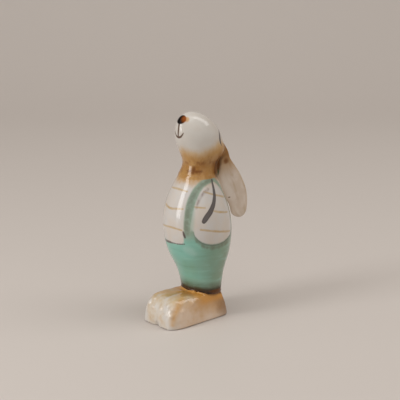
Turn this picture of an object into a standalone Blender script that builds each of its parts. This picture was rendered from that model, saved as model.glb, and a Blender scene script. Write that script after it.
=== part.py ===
"""Glazed ceramic hare figurine, standing upright in a striped shirt and dungarees.

Metres, +Z up. The hare faces -Y and its left side is +X. The origin is on the
surface it stands on. Each casting is hollow, open where it meets its neighbour,
and a thin layer of joining slip lies in every joint.
"""

import math

import bmesh
import bpy
from mathutils import Vector

# Main heights
FIGURE_HEIGHT = 0.1273
HEAD_HEIGHT = 0.0377

# Casting and joints
WALL = 0.0030
JOINT_GAP = 0.0003
SLIP_THICKNESS = 0.0010
SLIP_BEAD = 0.0003

# Feet
FOOT_WIDTH = 0.0149
FOOT_PARTING = 0.0003
FOOT_HEIGHT = 0.0154
HEEL_REACH = 0.0113
TOE_REACH = 0.0356
TOE_ROUNDING = 0.0130
HEEL_CORNER = 0.0090
HEEL_SLANT = 0.0040
SIDE_LEAN = 0.17
SOLE_ROUNDING = 0.0013
SOLE_MIDPOINT = 0.3
INSTEP_RISE = 0.0008
VALLEY_DIP = 0.0016
OUTER_DIP = 0.0030
TOE_GROOVE_DEPTH = 0.0006
TOE_GROOVE_LENGTH = 0.0080
TOE_GROOVE_PLACES = (-0.34, 0.36)
TOE_GROOVE_SPREAD_SHARE = 0.17
ANKLE_BORE_RADIUS = 0.0030
VENT_RADIUS = 0.0020

# How square the foot's rounded outlines are: 2 is an ellipse, more is boxier
TOE_PROFILE = 2.8
HEEL_PROFILE = 1.3
HEEL_CORNER_POWER = 4.0
TOE_INNER_CORNER = 3.4
TOE_OUTER_CORNER = 2.6
INNER_SIDE = 9.0
OUTER_SIDE_HEEL = 4.6
OUTER_SIDE_TOE = 2.7

# Torso, from the trouser cuff up to the collar; rises are shares of its height
CUFF_HALF_WIDTH = 0.0131
CUFF_HALF_DEPTH = 0.0113
CUFF_SHIFT = 0.0009
CUFF_SLOPE_RATIO = 0.11
CALF_RISE_SHARE = 0.155
CALF_HALF_WIDTH = 0.0148
CALF_HALF_DEPTH = 0.0135
CALF_SHIFT = 0.0004
HIP_RISE_SHARE = 0.352
HIP_HALF_WIDTH = 0.0187
HIP_HALF_DEPTH = 0.0190
HIP_SHIFT = -0.0010
BELLY_RISE_SHARE = 0.563
BELLY_HALF_WIDTH = 0.0204
BELLY_HALF_DEPTH = 0.0211
BELLY_SHIFT = -0.0022
CHEST_RISE_SHARE = 0.718
CHEST_HALF_WIDTH = 0.0192
CHEST_HALF_DEPTH = 0.0198
CHEST_SHIFT = -0.0029
SHOULDER_RISE_SHARE = 0.894
SHOULDER_HALF_WIDTH = 0.0149
SHOULDER_HALF_DEPTH = 0.0152
SHOULDER_SHIFT = -0.0030
COLLAR_HALF_WIDTH = 0.0119
COLLAR_HALF_DEPTH = 0.0120
COLLAR_SHIFT = -0.0018

# Head, from the neck joint up to the crown; rises are shares of its height
NECK_RISE_SHARE = 0.159
NECK_HALF_WIDTH = 0.0106
NECK_HALF_DEPTH = 0.0108
NECK_SHIFT = 0.0001
JAW_RISE_SHARE = 0.358
JAW_HALF_WIDTH = 0.0130
JAW_HALF_DEPTH = 0.0140
JAW_SHIFT = 0.0012
CHEEK_RISE_SHARE = 0.552
CHEEK_HALF_WIDTH = 0.0129
CHEEK_HALF_DEPTH = 0.0146
CHEEK_SHIFT = -0.0016
MUZZLE_LEAN = 0.34
MUZZLE_TAPER = 0.22
NOSE_DROP = 0.0032
NOSE_RISE = 0.0009
NOSE_TILT = 0.4
NOSE_RADIUS = 0.0030

# Ears
EAR_SPLAY_ANGLE = math.radians(15)
EAR_ROOT_SPREAD = 0.0055
EAR_ROOT_RISE = 0.0059
EAR_ROOT_REACH = 0.0009
EAR_ROOT_HALF_WIDTH = 0.0037
EAR_SETTING = 0.0048
EAR_SETTING_RISE_SHARE = 0.5
EAR_HALF_WIDTH = 0.0071
EAR_HALF_THICKNESS = 0.0019
EAR_TIP_THINNING = 0.35
EAR_HANG = 0.0370
EAR_STAND_OFF = 0.0006
EAR_TIP_LENGTH = 0.0057
EAR_TIP_POWER = 1.8
EAR_TIP_SLANT_RATIO = 0.40
EAR_CUP = 0.0010
# The leaf's shape as shares: how far it has dropped, how wide it is, and how
# much of its half width points level towards the hare's back
EAR_LEAF = (
    (0.17, 0.56, 0.66),
    (0.30, 0.77, 0.76),
    (0.44, 0.95, 0.90),
    (0.58, 1.00, 0.97),
    (0.76, 0.98, 0.98),
    (0.93, 0.86, 0.98),
    (1.00, 0.80, 0.98),
)

# Mesh fineness
BODY_SIDE_COUNT = 40
SPAN_RING_COUNT = 4
CROWN_RING_COUNT = 9
INNER_STEP_COUNT = 2
FOOT_SECTION_COUNT = 22
FOOT_ARC_COUNT = 18
FOOT_END_SHARE = 0.998
EAR_SECTION_COUNT = 15
EAR_TIP_SECTION_COUNT = 7
EAR_SIDE_COUNT = 16
BORE_SIDE_COUNT = 20


def clear_scene():
    """Remove whatever the scene holds."""
    for item in list(bpy.data.objects):
        bpy.data.objects.remove(item, do_unlink=True)


def ceramic(name, colour, roughness):
    """A glazed ceramic finish of one colour."""
    material = bpy.data.materials.new(name)
    material.use_nodes = True
    shader = material.node_tree.nodes["Principled BSDF"]
    shader.inputs["Base Color"].default_value = (*colour, 1.0)
    shader.inputs["Roughness"].default_value = roughness
    shader.inputs["Metallic"].default_value = 0.0
    return material


def add_object(name, bm, material=None):
    """Turn a bmesh into a named, smooth shaded object."""
    mesh = bpy.data.meshes.new(name)
    bm.to_mesh(mesh)
    bm.free()
    mesh.shade_smooth()
    mesh.set_sharp_from_angle(angle=math.radians(40))
    item = bpy.data.objects.new(name, mesh)
    bpy.context.scene.collection.objects.link(item)
    if material:
        mesh.materials.append(material)
    return item


def make_cutter(item):
    """Hide a guide solid, which only cuts other solids."""
    item.hide_render = True
    item.display_type = "WIRE"
    return item


def boolean(item, other, operation):
    """Combine an object with a guide solid by an exact Boolean."""
    modifier = item.modifiers.new(other.name, "BOOLEAN")
    modifier.operation = operation
    modifier.solver = "EXACT"
    modifier.object = other


def bridge(bm, lower, upper):
    """Join two rings of equal count with quads."""
    count = len(lower)
    for i in range(count):
        j = (i + 1) % count
        bm.faces.new((lower[i], lower[j], upper[j], upper[i]))


def add_ring(bm, points):
    """Add a ring of vertices."""
    return [bm.verts.new(point) for point in points]


def face_outwards(bm):
    """Turn every face of a closed shape outwards."""
    bmesh.ops.recalc_face_normals(bm, faces=bm.faces)
    return bm


def close_with_pole(bm, ring, point):
    """Close a ring with a fan of triangles to one vertex."""
    pole = bm.verts.new(point)
    count = len(ring)
    for i in range(count):
        bm.faces.new((ring[i], ring[(i + 1) % count], pole))


def loft(bm, rings):
    """Bridge a list of point rings, and give the first and last vertex rings."""
    built = [add_ring(bm, points) for points in rings]
    for lower, upper in zip(built, built[1:]):
        bridge(bm, lower, upper)
    return built[0], built[-1]


def smoothstep(value):
    """Ease from 0 to 1, flat at both ends."""
    value = min(max(value, 0.0), 1.0)
    return value * value * (3.0 - 2.0 * value)


def spline(stations, column, height, end_slope=None):
    """Smooth cubic through one column of the stations, read at a height."""
    heights = [station[0] for station in stations]
    values = [station[column] for station in stations]
    last = len(stations) - 1
    chords = [(values[i + 1] - values[i]) / (heights[i + 1] - heights[i]) for i in range(last)]
    slopes = [chords[0]]
    for i in range(1, last):
        before = heights[i] - heights[i - 1]
        after = heights[i + 1] - heights[i]
        slopes.append((chords[i - 1] * after + chords[i] * before) / (before + after))
    slopes.append(chords[-1] if end_slope is None else end_slope)
    i = 0
    while i < last - 1 and height > heights[i + 1]:
        i += 1
    span = heights[i + 1] - heights[i]
    t = (height - heights[i]) / span
    return ((2 * t ** 3 - 3 * t ** 2 + 1) * values[i]
            + (t ** 3 - 2 * t ** 2 + t) * span * slopes[i]
            + (3 * t ** 2 - 2 * t ** 3) * values[i + 1]
            + (t ** 3 - t ** 2) * span * slopes[i + 1])


# Heights of the joints and of the stations between them
JOINT_THICKNESS = JOINT_GAP + SLIP_THICKNESS + JOINT_GAP
CUFF_HEIGHT = FOOT_HEIGHT + JOINT_THICKNESS
HEAD_BASE = FIGURE_HEIGHT - HEAD_HEIGHT
COLLAR_HEIGHT = HEAD_BASE - JOINT_THICKNESS
TORSO_HEIGHT = COLLAR_HEIGHT - CUFF_HEIGHT
CALF_HEIGHT = CUFF_HEIGHT + CALF_RISE_SHARE * TORSO_HEIGHT
HIP_HEIGHT = CUFF_HEIGHT + HIP_RISE_SHARE * TORSO_HEIGHT
BELLY_HEIGHT = CUFF_HEIGHT + BELLY_RISE_SHARE * TORSO_HEIGHT
CHEST_HEIGHT = CUFF_HEIGHT + CHEST_RISE_SHARE * TORSO_HEIGHT
SHOULDER_HEIGHT = CUFF_HEIGHT + SHOULDER_RISE_SHARE * TORSO_HEIGHT
NECK_HEIGHT = HEAD_BASE + NECK_RISE_SHARE * HEAD_HEIGHT
JAW_HEIGHT = HEAD_BASE + JAW_RISE_SHARE * HEAD_HEIGHT
CHEEK_HEIGHT = HEAD_BASE + CHEEK_RISE_SHARE * HEAD_HEIGHT
CROWN_HEIGHT = FIGURE_HEIGHT
CHEEK_TO_CROWN = CROWN_HEIGHT - CHEEK_HEIGHT

TORSO_STATIONS = (
    (CUFF_HEIGHT, CUFF_HALF_WIDTH, CUFF_HALF_DEPTH, CUFF_SHIFT),
    (CALF_HEIGHT, CALF_HALF_WIDTH, CALF_HALF_DEPTH, CALF_SHIFT),
    (HIP_HEIGHT, HIP_HALF_WIDTH, HIP_HALF_DEPTH, HIP_SHIFT),
    (BELLY_HEIGHT, BELLY_HALF_WIDTH, BELLY_HALF_DEPTH, BELLY_SHIFT),
    (CHEST_HEIGHT, CHEST_HALF_WIDTH, CHEST_HALF_DEPTH, CHEST_SHIFT),
    (SHOULDER_HEIGHT, SHOULDER_HALF_WIDTH, SHOULDER_HALF_DEPTH, SHOULDER_SHIFT),
    (COLLAR_HEIGHT, COLLAR_HALF_WIDTH, COLLAR_HALF_DEPTH, COLLAR_SHIFT),
    (NECK_HEIGHT, NECK_HALF_WIDTH, NECK_HALF_DEPTH, NECK_SHIFT),
)
HEAD_STATIONS = (
    (SHOULDER_HEIGHT, SHOULDER_HALF_WIDTH, SHOULDER_HALF_DEPTH, SHOULDER_SHIFT),
    (COLLAR_HEIGHT, COLLAR_HALF_WIDTH, COLLAR_HALF_DEPTH, COLLAR_SHIFT),
    (NECK_HEIGHT, NECK_HALF_WIDTH, NECK_HALF_DEPTH, NECK_SHIFT),
    (JAW_HEIGHT, JAW_HALF_WIDTH, JAW_HALF_DEPTH, JAW_SHIFT),
    (CHEEK_HEIGHT, CHEEK_HALF_WIDTH, CHEEK_HALF_DEPTH, CHEEK_SHIFT),
)


def ellipse_ring(height, half_width, half_depth, shift, taper=0.0, slope=0.0):
    """A level or sloping oval, narrower in front where it tapers."""
    points = []
    for i in range(BODY_SIDE_COUNT):
        angle = 2.0 * math.pi * i / BODY_SIDE_COUNT
        x = half_width * math.sin(angle) * (1.0 - taper * math.cos(angle))
        y = shift - half_depth * math.cos(angle)
        points.append(Vector((x, y, height - slope * y)))
    return points


def torso_oval(height, inset=0.0):
    """The torso's oval at a height: half width, half depth and shift."""
    half_width = spline(TORSO_STATIONS, 1, height) - inset
    half_depth = spline(TORSO_STATIONS, 2, height) - inset
    return half_width, half_depth, spline(TORSO_STATIONS, 3, height)


def cuff_slope_at(height):
    """The cuff is higher in front, and level from the calf up."""
    return CUFF_SLOPE_RATIO * (1.0 - smoothstep((height - CUFF_HEIGHT) / (CALF_HEIGHT - CUFF_HEIGHT)))


def torso_rings(inset, step=1):
    """The torso's ovals from the cuff to the collar."""
    heights = [CUFF_HEIGHT]
    for low, high in zip(TORSO_STATIONS[:-2], TORSO_STATIONS[1:-1]):
        count = SPAN_RING_COUNT // step
        heights += [low[0] + (high[0] - low[0]) * (i + 1) / count for i in range(count)]
    return [ellipse_ring(height, *torso_oval(height, inset), slope=cuff_slope_at(height))
            for height in heights]


def head_oval(height, inset=0.0):
    """The head's oval below the cheeks."""
    half_width = spline(HEAD_STATIONS, 1, height, 0.0) - inset
    half_depth = spline(HEAD_STATIONS, 2, height, 0.0) - inset
    return half_width, half_depth, spline(HEAD_STATIONS, 3, height, -MUZZLE_LEAN)


def muzzle_taper_at(height):
    """The head narrows towards the muzzle, more so higher up."""
    return MUZZLE_TAPER * smoothstep((height - NECK_HEIGHT) / (CROWN_HEIGHT - NECK_HEIGHT))


def raise_nose(point):
    """Lift the surface of the muzzle into a low round nose."""
    seat = Vector((0.0, nose_seat_depth(), nose_height()))
    distance = (point - seat).length / NOSE_RADIUS
    lift = NOSE_RISE * math.exp(-distance * distance)
    return point + Vector((0.0, -lift, NOSE_TILT * lift))


def nose_height():
    """The nose lies high on the muzzle."""
    return CROWN_HEIGHT - NOSE_DROP


def nose_seat_depth():
    """Where the muzzle's surface is under the nose."""
    rise = (nose_height() - CHEEK_HEIGHT) / CHEEK_TO_CROWN
    half_depth = CHEEK_HALF_DEPTH * math.sqrt(1.0 - rise * rise)
    return CHEEK_SHIFT - MUZZLE_LEAN * rise * CHEEK_TO_CROWN - half_depth


def head_rings(inset, base, step=1):
    """The head's ovals from a base height to just below the crown."""
    rings = []
    heights = [base]
    for high in (NECK_HEIGHT, JAW_HEIGHT, CHEEK_HEIGHT):
        low = heights[-1]
        count = SPAN_RING_COUNT // step
        heights += [low + (high - low) * (i + 1) / count for i in range(count)]
    for height in heights:
        rings.append(ellipse_ring(height, *head_oval(height, inset), muzzle_taper_at(height)))
    count = CROWN_RING_COUNT // step
    for i in range(1, count):
        angle = 0.5 * math.pi * i / count
        rise = CHEEK_TO_CROWN * math.sin(angle)
        height = CHEEK_HEIGHT + (CHEEK_TO_CROWN - inset) * math.sin(angle)
        half_width = (CHEEK_HALF_WIDTH - inset) * math.cos(angle)
        half_depth = (CHEEK_HALF_DEPTH - inset) * math.cos(angle)
        shift = CHEEK_SHIFT - MUZZLE_LEAN * rise
        rings.append(ellipse_ring(height, half_width, half_depth, shift, muzzle_taper_at(height)))
    if inset == 0.0:
        rings = [[raise_nose(point) for point in ring] for ring in rings]
    return rings


def crown_point(inset):
    """The top of the head's surface."""
    shift = CHEEK_SHIFT - MUZZLE_LEAN * CHEEK_TO_CROWN
    return Vector((0.0, shift, CROWN_HEIGHT - inset))


def make_torso():
    """Shirt and trousers in one hollow casting, open at the collar and the cuff."""
    bm = bmesh.new()
    outer_bottom, outer_top = loft(bm, torso_rings(0.0))
    inner_bottom, inner_top = loft(bm, torso_rings(WALL, INNER_STEP_COUNT))
    bridge(bm, outer_bottom, inner_bottom)
    bridge(bm, outer_top, inner_top)
    return add_object("torso_casting", face_outwards(bm), ceramic("glazed_shirt", (0.80, 0.77, 0.72), 0.12))


def make_head():
    """Head and neck in one hollow casting, open below."""
    bm = bmesh.new()
    outer_bottom, outer_top = loft(bm, head_rings(0.0, HEAD_BASE))
    close_with_pole(bm, outer_top, crown_point(0.0))
    inner_bottom, inner_top = loft(bm, head_rings(WALL, HEAD_BASE, INNER_STEP_COUNT))
    close_with_pole(bm, inner_top, crown_point(WALL))
    bridge(bm, outer_bottom, inner_bottom)
    return add_object("head_casting", face_outwards(bm), ceramic("glazed_head", (0.84, 0.81, 0.77), 0.12))


def slip_ring(name, ring_at, low, material):
    """A flat ring of slip between two rims, with a small rounded bead outside."""
    bm = bmesh.new()
    bead = SLIP_THICKNESS / 3.0
    high = low + SLIP_THICKNESS
    profile = [
        ring_at(low, WALL),
        ring_at(low, 0.0),
        ring_at(low + bead, -SLIP_BEAD),
        ring_at(high - bead, -SLIP_BEAD),
        ring_at(high, 0.0),
        ring_at(high, WALL),
    ]
    first, last = loft(bm, profile)
    bridge(bm, last, first)
    return add_object(name, face_outwards(bm), material)


def make_neck_slip():
    """The layer of slip between the collar and the neck."""
    def ring_at(height, inset):
        return ellipse_ring(height, *torso_oval(height, inset))
    glaze = ceramic("neck_slip_glaze", (0.30, 0.13, 0.04), 0.2)
    slip_ring("neck_slip_seam", ring_at, COLLAR_HEIGHT + JOINT_GAP, glaze)


def make_ankle_slip():
    """The layer of slip between the trouser cuff and the feet."""
    def ring_at(height, inset):
        return ellipse_ring(height, *torso_oval(CUFF_HEIGHT, inset), slope=CUFF_SLOPE_RATIO)
    glaze = ceramic("ankle_slip_glaze", (0.09, 0.06, 0.04), 0.2)
    slip_ring("ankle_slip_seam", ring_at, FOOT_HEIGHT + JOINT_GAP, glaze)


def foot_top(y):
    """The foot's height along its length: sloping under the cuff, then level."""
    slope_end = -(CUFF_HALF_DEPTH - CUFF_SHIFT)
    reach = max(y, slope_end)
    ahead = smoothstep((slope_end - y) / CUFF_HALF_DEPTH)
    return FOOT_HEIGHT - CUFF_SLOPE_RATIO * reach + INSTEP_RISE * ahead


def top_dip(y, across):
    """How far the foot's top drops to its inner and outer sides, from the cuff to the toes."""
    slope_end = -(CUFF_HALF_DEPTH - CUFF_SHIFT)
    deepest = VALLEY_DIP if across < 0.0 else OUTER_DIP
    return deepest * across ** 2 * smoothstep((slope_end - y) / CUFF_HALF_DEPTH)


def end_rounding(distance, length, power):
    """How far a rounded end has drawn in, from 1 down to 0 at the tip."""
    if distance <= 0.0:
        return 1.0
    share = min(distance / length, 1.0)
    return max(1.0 - share ** power, 0.0) ** (1.0 / power)


def toe_groove(y, across):
    """Two shallow grooves that part the toes."""
    start = -(TOE_REACH - TOE_GROOVE_LENGTH)
    along = smoothstep((start - y) / TOE_GROOVE_LENGTH)
    depth = 0.0
    for place in TOE_GROOVE_PLACES:
        offset = (across - place) / TOE_GROOVE_SPREAD_SHARE
        depth += TOE_GROOVE_DEPTH * along * math.exp(-offset * offset)
    return depth


def sole_curve(distance):
    """The rounded edge of the sole: how high it is at a distance in from the side."""
    inside = max(SOLE_ROUNDING - distance, 0.0)
    return SOLE_ROUNDING - math.sqrt(max(SOLE_ROUNDING ** 2 - inside ** 2, 0.0))


def foot_section(y, inset):
    """One upright section of the left foot, from its inner side over to its outer side.

    Each row is a share across, -1 at the inner side, a height and a tuck inwards.
    """
    toe_ahead = (-y) - (TOE_REACH - TOE_ROUNDING)
    height = (foot_top(y) * end_rounding(toe_ahead, TOE_ROUNDING, TOE_PROFILE)
              * end_rounding(y - (HEEL_REACH - HEEL_SLANT), HEEL_SLANT, HEEL_PROFILE)) - 2.0 * inset
    heel_width = end_rounding(y - (HEEL_REACH - HEEL_CORNER), HEEL_CORNER, HEEL_CORNER_POWER)
    inner_width = heel_width * end_rounding(toe_ahead, TOE_ROUNDING, TOE_INNER_CORNER)
    outer_width = heel_width * end_rounding(toe_ahead, TOE_ROUNDING, TOE_OUTER_CORNER)
    toeward = smoothstep(-y / (TOE_REACH - TOE_ROUNDING))
    outer_power = OUTER_SIDE_HEEL + (OUTER_SIDE_TOE - OUTER_SIDE_HEEL) * toeward
    rows = []
    for i in range(FOOT_ARC_COUNT + 1):
        angle = math.pi * i / FOOT_ARC_COUNT
        inner = 2 * i < FOOT_ARC_COUNT
        power = INNER_SIDE if inner else outer_power
        across = -math.copysign(abs(math.cos(angle)) ** (2.0 / power), math.cos(angle))
        up = abs(math.sin(angle)) ** (2.0 / power)
        groove = toe_groove(y, across) if inset == 0.0 else 0.0
        rows.append((across, up * (height - groove - top_dip(y, across)), groove))
    floor = 0.0
    if inset == 0.0:
        floor = sole_curve(min(TOE_REACH + y, HEEL_REACH - y))
        edge = [(min(sole_curve(tuck), SOLE_MIDPOINT * height), tuck)
                for tuck in (SOLE_ROUNDING, SOLE_MIDPOINT * SOLE_ROUNDING, 0.0)]
        rows[0:1] = [(-1.0, rise, tuck) for rise, tuck in edge]
        rows[-1:] = [(1.0, rise, tuck) for rise, tuck in reversed(edge)]
    centre = 0.5 * (FOOT_PARTING + FOOT_WIDTH)
    points = []
    for across, rise, tuck in rows:
        half_width = 0.5 * FOOT_WIDTH * (inner_width if across < 0.0 else outer_width) - inset
        lean = SIDE_LEAN * rise * (1.0 - toeward) if across > 0.0 else 0.0
        x = centre + across * (half_width - lean - min(tuck, 0.5 * half_width))
        points.append(Vector((x, y, inset + floor + rise * (height - floor) / height)))
    return points


def foot_solid(name, inset, material=None):
    """The left foot's rounded block, or the hollow inside it."""
    bm = bmesh.new()
    toe = -(TOE_REACH - inset)
    heel = HEEL_REACH - inset
    middle = 0.5 * (toe + heel)
    half = 0.5 * (heel - toe)
    rings = []
    for i in range(FOOT_SECTION_COUNT + 1):
        y = middle - half * math.cos(math.pi * i / FOOT_SECTION_COUNT) * FOOT_END_SHARE
        rings.append(foot_section(y, inset))
    first, last = loft(bm, rings)
    bm.faces.new(first)
    bm.faces.new(last)
    return add_object(name, face_outwards(bm), material)


def upright_cylinder(name, x, y, radius, low, high):
    """A cylinder along Z, used to cut a round hole."""
    bm = bmesh.new()
    rings = []
    for height in (low, high):
        rings.append([Vector((x + radius * math.cos(2.0 * math.pi * i / BORE_SIDE_COUNT),
                              y + radius * math.sin(2.0 * math.pi * i / BORE_SIDE_COUNT),
                              height)) for i in range(BORE_SIDE_COUNT)])
    first, last = loft(bm, rings)
    bm.faces.new(first)
    bm.faces.new(last)
    return make_cutter(add_object(name, face_outwards(bm)))


def make_feet():
    """Two hollow feet, each open under the cuff and vented in its underside."""
    glaze = ceramic("glazed_foot", (0.72, 0.62, 0.47), 0.14)
    left = foot_solid("left_foot", 0.0, glaze)
    centre = 0.5 * (FOOT_PARTING + FOOT_WIDTH)
    core = make_cutter(foot_solid("foot_core", WALL))
    ankle = upright_cylinder("ankle_bore", centre, CUFF_SHIFT, ANKLE_BORE_RADIUS,
                             0.5 * FOOT_HEIGHT, 2.0 * FOOT_HEIGHT)
    vent = upright_cylinder("vent_hole", centre, -CUFF_HALF_DEPTH, VENT_RADIUS,
                            -WALL, 0.5 * FOOT_HEIGHT)
    for cutter in (core, ankle, vent):
        boolean(left, cutter, "DIFFERENCE")
    mirrored_copy(left, "right_foot")


def mirrored_copy(item, name):
    """A copy of a finished piece for the hare's right side."""
    bpy.context.view_layer.update()
    graph = bpy.context.evaluated_depsgraph_get()
    bm = bmesh.new()
    bm.from_mesh(item.evaluated_get(graph).to_mesh())
    for vert in bm.verts:
        vert.co.x = -vert.co.x
    bmesh.ops.reverse_faces(bm, faces=bm.faces)
    return add_object(name, bm, item.data.materials[0])


def back_of_body(height):
    """How far back the torso or the neck reaches at a height, whichever is more."""
    _, half_depth, shift = torso_oval(min(height, NECK_HEIGHT))
    return max(shift + half_depth, NECK_SHIFT + NECK_HALF_DEPTH)


def ear_stations():
    """The ear's middle line and half width, from inside the head to where its tip begins.

    Each station is a reach back from the neck along the splayed leaf, a height
    and a half width. The leaf's front edge follows the back of the body.
    """
    root_height = NECK_HEIGHT + EAR_ROOT_RISE
    neck_back = NECK_SHIFT + NECK_HALF_DEPTH
    stations = [
        (EAR_ROOT_REACH - EAR_SETTING, root_height + EAR_SETTING_RISE_SHARE * EAR_SETTING,
         EAR_ROOT_HALF_WIDTH),
        (EAR_ROOT_REACH, root_height, EAR_ROOT_HALF_WIDTH),
    ]
    for drop, width, lead in EAR_LEAF:
        height = root_height - drop * EAR_HANG
        half_width = width * EAR_HALF_WIDTH
        front = (back_of_body(height) - neck_back) / math.cos(EAR_SPLAY_ANGLE) + EAR_STAND_OFF
        stations.append((front + lead * half_width, height, half_width))
    return stations


def ear_middle_line():
    """The ear's sections: reach, height, half width and share of the full thickness."""
    stations = ear_stations()
    lengths = [0.0]
    for before, after in zip(stations, stations[1:]):
        lengths.append(lengths[-1] + math.hypot(after[0] - before[0], after[1] - before[1]))
    rows = [(length, *station) for length, station in zip(lengths, stations)]
    sections = []
    for i in range(EAR_SECTION_COUNT + 1):
        length = lengths[-1] * i / EAR_SECTION_COUNT
        thickness = 1.0 - EAR_TIP_THINNING * smoothstep(i / EAR_SECTION_COUNT)
        sections.append((*(spline(rows, column, length) for column in (1, 2, 3)), thickness))
    reach, height, half_width, thickness = sections[-1]
    for i in range(1, EAR_TIP_SECTION_COUNT + 1):
        share = math.sin(0.5 * math.pi * i / (EAR_TIP_SECTION_COUNT + 0.3))
        left = (1.0 - share ** EAR_TIP_POWER) ** (1.0 / EAR_TIP_POWER)
        sections.append((reach + EAR_TIP_SLANT_RATIO * EAR_TIP_LENGTH * share,
                         height - EAR_TIP_LENGTH * share, half_width * left, thickness * left ** 0.5))
    return sections


def ear_solid(name, grow, material=None):
    """The left ear's leaf, cupped on its outer side and round along its edges."""
    along = Vector((math.sin(EAR_SPLAY_ANGLE), math.cos(EAR_SPLAY_ANGLE), 0.0))
    outward = Vector((math.cos(EAR_SPLAY_ANGLE), -math.sin(EAR_SPLAY_ANGLE), 0.0))
    start = Vector((EAR_ROOT_SPREAD, NECK_SHIFT + NECK_HALF_DEPTH, 0.0))
    sections = ear_middle_line()
    bm = bmesh.new()
    rings = []
    for i, (reach, height, half_width, thickness) in enumerate(sections):
        before = sections[max(i - 1, 0)]
        after = sections[min(i + 1, len(sections) - 1)]
        run = Vector((after[0] - before[0], after[1] - before[1])).normalized()
        across = along * -run.y + Vector((0.0, 0.0, run.x))
        centre = start + along * reach + Vector((0.0, 0.0, height))
        ring = []
        for j in range(EAR_SIDE_COUNT):
            angle = 2.0 * math.pi * j / EAR_SIDE_COUNT
            side = math.cos(angle)
            cup = EAR_CUP * (side * side - 0.5) * thickness
            depth = (EAR_HALF_THICKNESS * thickness + grow) * math.sin(angle)
            ring.append(centre + across * ((half_width + grow) * side) + outward * (depth + cup))
        rings.append(ring)
    first, last = loft(bm, rings)
    bm.faces.new(first)
    bm.faces.new(last)
    return add_object(name, face_outwards(bm), material)


def head_guide(name, grow):
    """The head's outer surface, grown by a clearance, as a solid that cuts."""
    bm = bmesh.new()
    first, last = loft(bm, head_rings(-grow, HEAD_BASE - grow))
    close_with_pole(bm, last, crown_point(-grow))
    bm.faces.new(first)
    return make_cutter(add_object(name, face_outwards(bm)))


def make_ears():
    """Two drooping ears and the slip that holds each root to the head."""
    glaze = ceramic("glazed_ear", (0.74, 0.68, 0.60), 0.14)
    slip_glaze = ceramic("ear_slip_glaze", (0.33, 0.17, 0.06), 0.2)
    seat = head_guide("ear_seat", JOINT_THICKNESS)
    slip_top = head_guide("slip_top", JOINT_GAP + SLIP_THICKNESS)
    slip_base = head_guide("slip_base", JOINT_GAP)
    left = ear_solid("left_ear", 0.0, glaze)
    boolean(left, seat, "DIFFERENCE")
    slip = ear_solid("left_ear_slip_seam", SLIP_BEAD, slip_glaze)
    boolean(slip, slip_top, "INTERSECT")
    boolean(slip, slip_base, "DIFFERENCE")
    mirrored_copy(left, "right_ear")
    mirrored_copy(slip, "right_ear_slip_seam")


def centre_over_origin():
    """Carry every piece on one empty, so that the figure stands centred on the origin."""
    figure = bpy.data.objects.new("figure", None)
    bpy.context.scene.collection.objects.link(figure)
    depths = []
    for item in bpy.context.scene.objects:
        if item.type == "MESH":
            item.parent = figure
            if not item.hide_render:
                depths += [vert.co.y for vert in item.data.vertices]
    figure.location.y = -0.5 * (min(depths) + max(depths))


clear_scene()
make_torso()
make_head()
make_neck_slip()
make_ankle_slip()
make_feet()
make_ears()
centre_over_origin()
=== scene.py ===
"""Glazed ceramic hare: the painted, glazed figure on a pale table."""

import math

import bmesh
import bpy
import numpy as np
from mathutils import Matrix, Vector, noise
from mathutils.kdtree import KDTree


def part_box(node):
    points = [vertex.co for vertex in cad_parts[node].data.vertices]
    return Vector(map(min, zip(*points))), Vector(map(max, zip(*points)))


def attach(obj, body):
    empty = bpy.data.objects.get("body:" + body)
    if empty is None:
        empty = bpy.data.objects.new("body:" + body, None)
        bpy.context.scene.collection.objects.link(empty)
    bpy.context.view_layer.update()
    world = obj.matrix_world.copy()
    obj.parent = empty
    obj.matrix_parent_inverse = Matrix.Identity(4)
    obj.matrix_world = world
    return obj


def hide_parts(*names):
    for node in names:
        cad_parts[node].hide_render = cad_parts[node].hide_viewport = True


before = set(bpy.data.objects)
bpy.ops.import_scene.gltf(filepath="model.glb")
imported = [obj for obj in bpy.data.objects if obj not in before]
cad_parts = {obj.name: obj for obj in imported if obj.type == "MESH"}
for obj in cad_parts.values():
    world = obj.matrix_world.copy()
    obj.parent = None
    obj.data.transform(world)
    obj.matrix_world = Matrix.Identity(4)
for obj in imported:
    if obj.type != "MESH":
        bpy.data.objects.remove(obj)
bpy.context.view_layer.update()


# Torso. Shirt and trousers are one hollow slip casting, open at the collar and
# at the cuff. It is painted with underglaze colours by brush, then dipped in a
# clear gloss glaze. The braces, stripes and sleeve line are paint, not relief.
TOE_REACH = 0.0356
ANKLE_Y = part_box("left_foot")[0].y + TOE_REACH
WALL = 0.003
CUFF_Z = 0.017
CUFF_SLOPE = 0.11
COLLAR_Z = 0.088
CALF_Z = 0.028
NECK_Z = 0.0956
WIDE, DEEP, SHIFT = 1, 2, 3
BODY_STATIONS = (
    # height, half width, half depth, how far back the middle is
    (CUFF_Z, 0.0131, 0.0113, 0.0009),
    (CALF_Z, 0.0148, 0.0135, 0.0004),
    (0.042, 0.0187, 0.019, -0.001),
    (0.057, 0.02039, 0.0211, -0.0022),
    (0.068, 0.0192, 0.0198, -0.0029),
    (0.0805, 0.0149, 0.0152, -0.003),
    (COLLAR_Z, 0.0119, 0.012, -0.0018),
    (NECK_Z, 0.0106, 0.0108, 0.0001),
)
AROUND = 288
TORSO_ROWS = 190
INSIDE_SKIP = 14  # the hidden inside of a casting needs few rows
SEAM_LAP = 0.0009
SHARP_ANGLE = math.radians(50)
FAR_OFF = 99.0
ARMHOLE_TURNS = (36.0, 133.0)
ARMHOLE_EDGE = 8.0
FAR_BRACE_DRIFT = (-8.0, 0.3)


def eased(value):
    """Ease from 0 to 1, flat at both ends, for one number or many."""
    value = np.clip(value, 0.0, 1.0)
    return value * value * (3.0 - 2.0 * value)


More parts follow.
